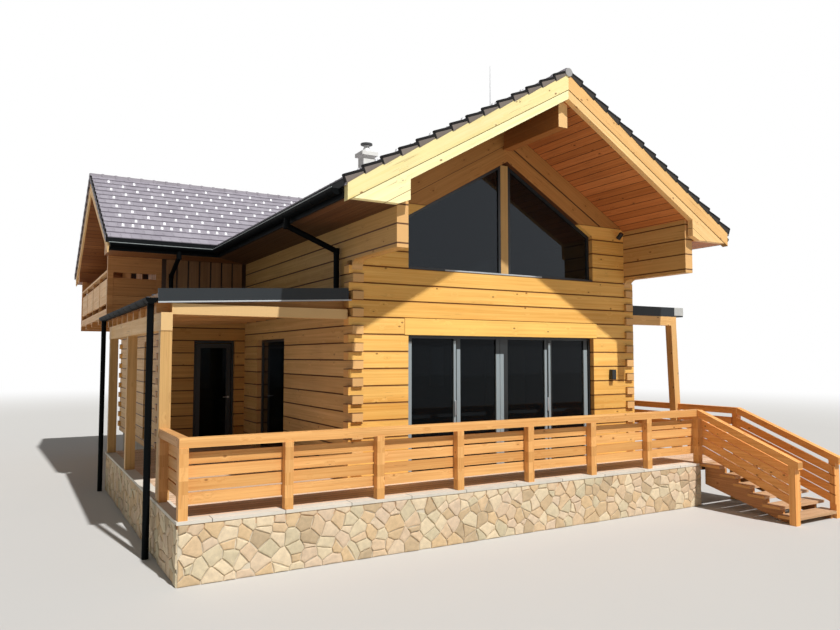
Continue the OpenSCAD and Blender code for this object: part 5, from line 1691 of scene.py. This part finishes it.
    def build(self) -> None:
        """Face the front and both ends of the terrace wall."""
        self.face("front_stones", (-5.79, -10.041, 0.0), (1.0, 0.0, 0.0), 9.04, 21)
        self.face("left_stones", (-5.791, -3.06, 0.0), (0.0, -1.0, 0.0), 6.98, 22)
        self.face("right_stones", (3.251, -10.04, 0.0), (0.0, 1.0, 0.0), 1.28, 23)


@dataclass
class Joinery:
    """Pale stiles of the sliding doors, sills, and handles."""
    y: float = FRONT + 0.095
    half: float = 2.0
    low: float = 0.75
    high: float = 3.005
    sill_z: float = 4.076
    sill_out: float = 0.09
    # The gable window's sill is pale between these places, and dark beside them as painted shade
    pale: Tuple[float, float] = (-1.30, 0.76)
    grips: Tuple[float, float] = (-1.06, 0.94)
    grip_z: float = 1.68
    # Each stile's sides, and the height of its pale part, over which a dark head is painted shadow of the
    # lintel
    stiles: Tuple[Tuple[float, float, float], ...] = (
        (-1.966, -1.890, 2.90), (-1.080, -1.036, 2.92), (-1.020, -0.948, 2.78), (-0.204, -0.124, 2.70),
        (-0.118, -0.040, 2.70), (0.882, 0.936, 2.78), (0.972, 1.018, 2.90), (1.826, 1.915, 2.78))

    def at(self, z: float, x: float = 0.0, out: float = 0.0) -> Matrix:
        """Give a place on the glazing's face."""
        return Matrix.Translation((x, self.y - out, z))

    def doors(self) -> None:
        """Model the sliding doors' stiles, pale below, with dark heads above as painted shadow of the
        lintel.
        """
        row, shadowed_heads = Row("pale_stiles", 17), Row("stile_heads_painted_shadow", 16)
        for x0, x1, top in self.stiles:
            stile = board("stile", (x0, -0.006, self.low + 0.05), (x1, 0.024, top), 0.003, 2)
            row.lay(Stock.of(stile), self.at(0.0))
            # The dark head is painted shadow that the lintel casts on the stile
            head = board("head", (x0, -0.005, top), (x1, 0.024, self.high - 0.052), 0.001)
            shadowed_heads.lay(Stock.of(head), self.at(0.0))
        hand_over(row.make(), PALE_EDGE)
        hand_over(shadowed_heads.make(), FRAME)

    def window_sills(self) -> None:
        """Model the gable window's sill in three parts, its dark ends painted shade, and the doors' track.
        """
        dark = Row("gable_sill_painted_shade_ends", 18)
        # The sill's two ends take the dark frame coat as painted shade
        for x0, x1 in ((-self.half, self.pale[0]), (self.pale[1], self.half)):
            part = board("sill", (x0, -self.sill_out, 0.0), (x1, 0.0, 0.026), 0.003, 2)
            dark.lay(Stock.of(part), self.at(self.sill_z))
        hand_over(dark.make(), FRAME)
        sills = Row("window_sills", 19)
        bright = board("sill", (self.pale[0], -0.10, 0.0), (self.pale[1], 0.0, 0.024), 0.003, 2)
        sills.lay(Stock.of(bright), self.at(self.sill_z + 0.002))
        end = self.half - 0.004
        track = board("track", (-end, -self.sill_out, 0.0), (end, 0.0, 0.02), 0.003, 2)
        sills.lay(Stock.of(track), self.at(self.low + 0.001))
        hand_over(sills.make(), SILL)

    def handles(self) -> None:
        """Model the sliding doors' upright grips."""
        grip = Stock.of(board("grip", (-0.012, -0.035, 0.0), (0.012, 0.0, 0.24), 0.006, 2))
        row = Row("sliding_door_grips", 20)
        for x in self.grips:
            row.lay(grip, self.at(self.grip_z, x, 0.001))
        hand_over(row.make(), STEEL)

    def build(self) -> None:
        """Model the stiles, the sills and the handles."""
        self.doors()
        self.window_sills()
        self.handles()


def porch_tilt() -> Matrix:
    """Give the turn that lays a level piece on the porch roof's slope."""
    return Matrix.Rotation(-math.atan2(PORCH_FALL, PORCH_WIDE), 4, "Y")


@dataclass
class Fittings:
    """Lamps, the lightning rod, gutter brackets and beads, the porch roof's sheets and the flashings."""
    gutter: float = 3.9053
    gutter_z: float = 4.845
    bracket_r: float = 0.0825
    bead: float = 3.9773
    bead_z: float = 4.856
    bead_r: float = 0.0078
    roof_end: float = 5.95
    porch_gutter: Vec = (-5.9103, -8.45, 3.44)
    eave_lamp: Vec = (2.60, -8.83, 4.98)
    lamp_tilt: float = 50.0
    sheets_across: int = 12
    seam_wide: float = 0.012
    seam_high: float = 0.025

    def bracket(self) -> Stock:
        """Model one gutter bracket by spinning a flat bar round the gutter.

        Returns:
            The bracket round a gutter along X.
        """
        clear()
        bpy.ops.mesh.primitive_cube_add(size=1.0, location=(0.0, -self.bracket_r, 0.0))
        piece = bpy.context.object
        piece.scale = (0.026, 0.004, 0.0005)
        settle(piece)
        pick(piece, lambda face: face.normal.z < -0.9)
        bpy.ops.mesh.spin(steps=8, angle=math.pi, center=(0.0, 0.0, 0.0), axis=(1.0, 0.0, 0.0))
        bpy.ops.object.mode_set(mode="OBJECT")
        low = min(v.co.z for v in piece.data.vertices)
        if low > -self.bracket_r / 2:
            piece.data.transform(Matrix.Scale(-1.0, 4, (0.0, 0.0, 1.0)))
        outwards(piece)
        for side in (1.0, -1.0):
            trim(piece, (0.0, side * (self.bracket_r - 0.0033), 0.0), (0.0, side, 0.0))
        return Stock.of(piece)

    def brackets(self) -> None:
        """Hang brackets along every gutter."""
        stock = self.bracket()
        row = Row("gutter_brackets", 27)
        across = Matrix.Rotation(math.pi / 2, 4, "Z")
        for side in (-1.0, 1.0):
            for i in range(11):
                place = (side * self.gutter, -10.0 + i * 0.58, self.gutter_z)
                row.lay(stock, Matrix.Translation(place) @ across)
            for i in range(3):
                row.lay(stock, Matrix.Translation((side * (4.15 + i * 0.75), -self.gutter, self.gutter_z)))
        for i in range(18):
            row.lay(stock, Matrix.Translation((-5.6 + i * 11.2 / 17, self.gutter, self.gutter_z)))
        x, y, z = self.porch_gutter
        for i in range(9):
            row.lay(stock, Matrix.Translation((x, y + i * 0.64, z)) @ across)
        hand_over(row.make(), GUTTER)

    def beads(self) -> None:
        """Model the gutters' rolled front edges as slim pale rods, a painted highlight along the gutters.
        """
        row = Row("gutter_beads", 37)
        out, end, corner = self.bead, self.roof_end, 3.98
        runs = [((side * out, -10.19), (side * out, -corner)) for side in (-1.0, 1.0)]
        runs += [((-end, -out), (-corner, -out)), ((corner, -out), (end, -out)), ((-end, out), (end, out))]
        for (x0, y0), (x1, y1) in runs:
            length = math.hypot(x1 - x0, y1 - y0)
            clear()
            bpy.ops.mesh.primitive_cylinder_add(vertices=10, radius=self.bead_r, depth=length,
                                                rotation=(0.0, math.pi / 2, 0.0))
            rod = settle(bpy.context.object)
            turn = Matrix.Rotation(math.atan2(y1 - y0, x1 - x0), 4, "Z")
            middle = Matrix.Translation(((x0 + x1) / 2, (y0 + y1) / 2, self.bead_z))
            row.lay(Stock.of(edge_bevel(rod, 0.002)), middle @ turn)
        hand_over(row.make(), BEAD)

    def lamps(self) -> None:
        """Model the wall lamp beside the glazing and the small lamp under the eaves."""
        lamp = board("wall_lamp", (2.39, -8.79, 2.22), (2.49, -8.70, 2.41), 0.008, 2)
        pick(lamp, lambda face: abs(face.normal.z) > 0.9)
        bpy.ops.mesh.inset(thickness=0.012, depth=-0.02, use_individual=True)
        bpy.ops.object.mode_set(mode="OBJECT")
        hand_over(lamp, FRAME)
        clear()
        bpy.ops.mesh.primitive_cylinder_add(vertices=20, radius=0.045, depth=0.13, location=self.eave_lamp,
                                            rotation=(math.radians(self.lamp_tilt), 0.0, 0.0))
        spot = bpy.context.object
        spot.name = "eave_lamp"
        settle(spot)
        edge_bevel(spot, 0.006, 2)
        hand_over(spot, FRAME)

    def rod(self) -> None:
        """Model the lightning rod as a thin tapering rod on a clamp."""
        clear()
        bpy.ops.mesh.primitive_cone_add(vertices=10, radius1=0.010, radius2=0.004, depth=0.78,
                                        location=(0.0, -8.2, 7.63))
        rod = bpy.context.object
        rod.name = "lightning_rod"
        settle(rod)
        pick(rod, lambda face: face.normal.z < -0.9)
        bpy.ops.mesh.inset(thickness=-0.012)
        bpy.ops.mesh.extrude_region_move(TRANSFORM_OT_translate={"value": (0.0, 0.0, -0.03)})
        bpy.ops.object.mode_set(mode="OBJECT")
        outwards(rod)
        hand_over(rod, ROD)

    def trims(self) -> None:
        """Model the fascia's pale drip edge and the canopy's pale end piece."""
        y = (FRONT - 0.006, FRONT + 0.0015)
        drip = board("porch_drip_edge", (0.0, y[0], -0.012), (PORCH_WIDE, y[1], 0.010), 0.002)
        drip.data.transform(Matrix.Translation((-5.83, 0.0, 3.385)) @ porch_tilt())
        hand_over(drip, SILL)
        end = board("canopy_end_flashing", (4.24, y[0], 3.495), (4.506, y[1], 3.66), 0.003)
        hand_over(end, ZINC)

    def sheets(self) -> None:
        """Cover the porch roof with folded sheets, whose standing seams run down the slope."""
        low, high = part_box("porch_roof")
        length = high[0] - low[0] - 0.006
        wide = (high[1] - low[1] - 0.004) / self.sheets_across
        seam = wide - self.seam_wide
        clear()
        bpy.ops.mesh.primitive_cube_add(size=1.0)
        piece = bpy.context.object
        piece.scale = (length, wide - 0.001, 0.003)
        piece.location = (length / 2, wide / 2, 0.0025)
        settle(piece)
        split(piece, (0.0, seam, 0.0), (0.0, 1.0, 0.0))
        draw_out(piece, lambda face: face.normal.z > 0.9 and face.center.y > seam,
                 (0.0, 0.0, self.seam_high))
        sheet = Stock.of(piece)
        row = Row("porch_roof_sheets", 39)
        for i in range(self.sheets_across):
            place = (low[0] + 0.003, low[1] + 0.002 + i * wide, 3.5)
            row.lay(sheet, Matrix.Translation(place) @ porch_tilt())
        hand_over(row.make(), SHEET)

    def build(self) -> None:
        """Model every fitting."""
        self.sheets()
        self.brackets()
        self.beads()
        self.lamps()
        self.rod()
        self.trims()


def main() -> None:
    """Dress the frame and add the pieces."""
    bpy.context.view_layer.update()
    Stage().build()
    CadFinishes().dress()
    for part in (TileCovering(), Cladding(), BalconyBoards(), StoneFacing(), Joinery(), Fittings()):
        part.build()
    clear()


if __name__ == "__main__":
    main()
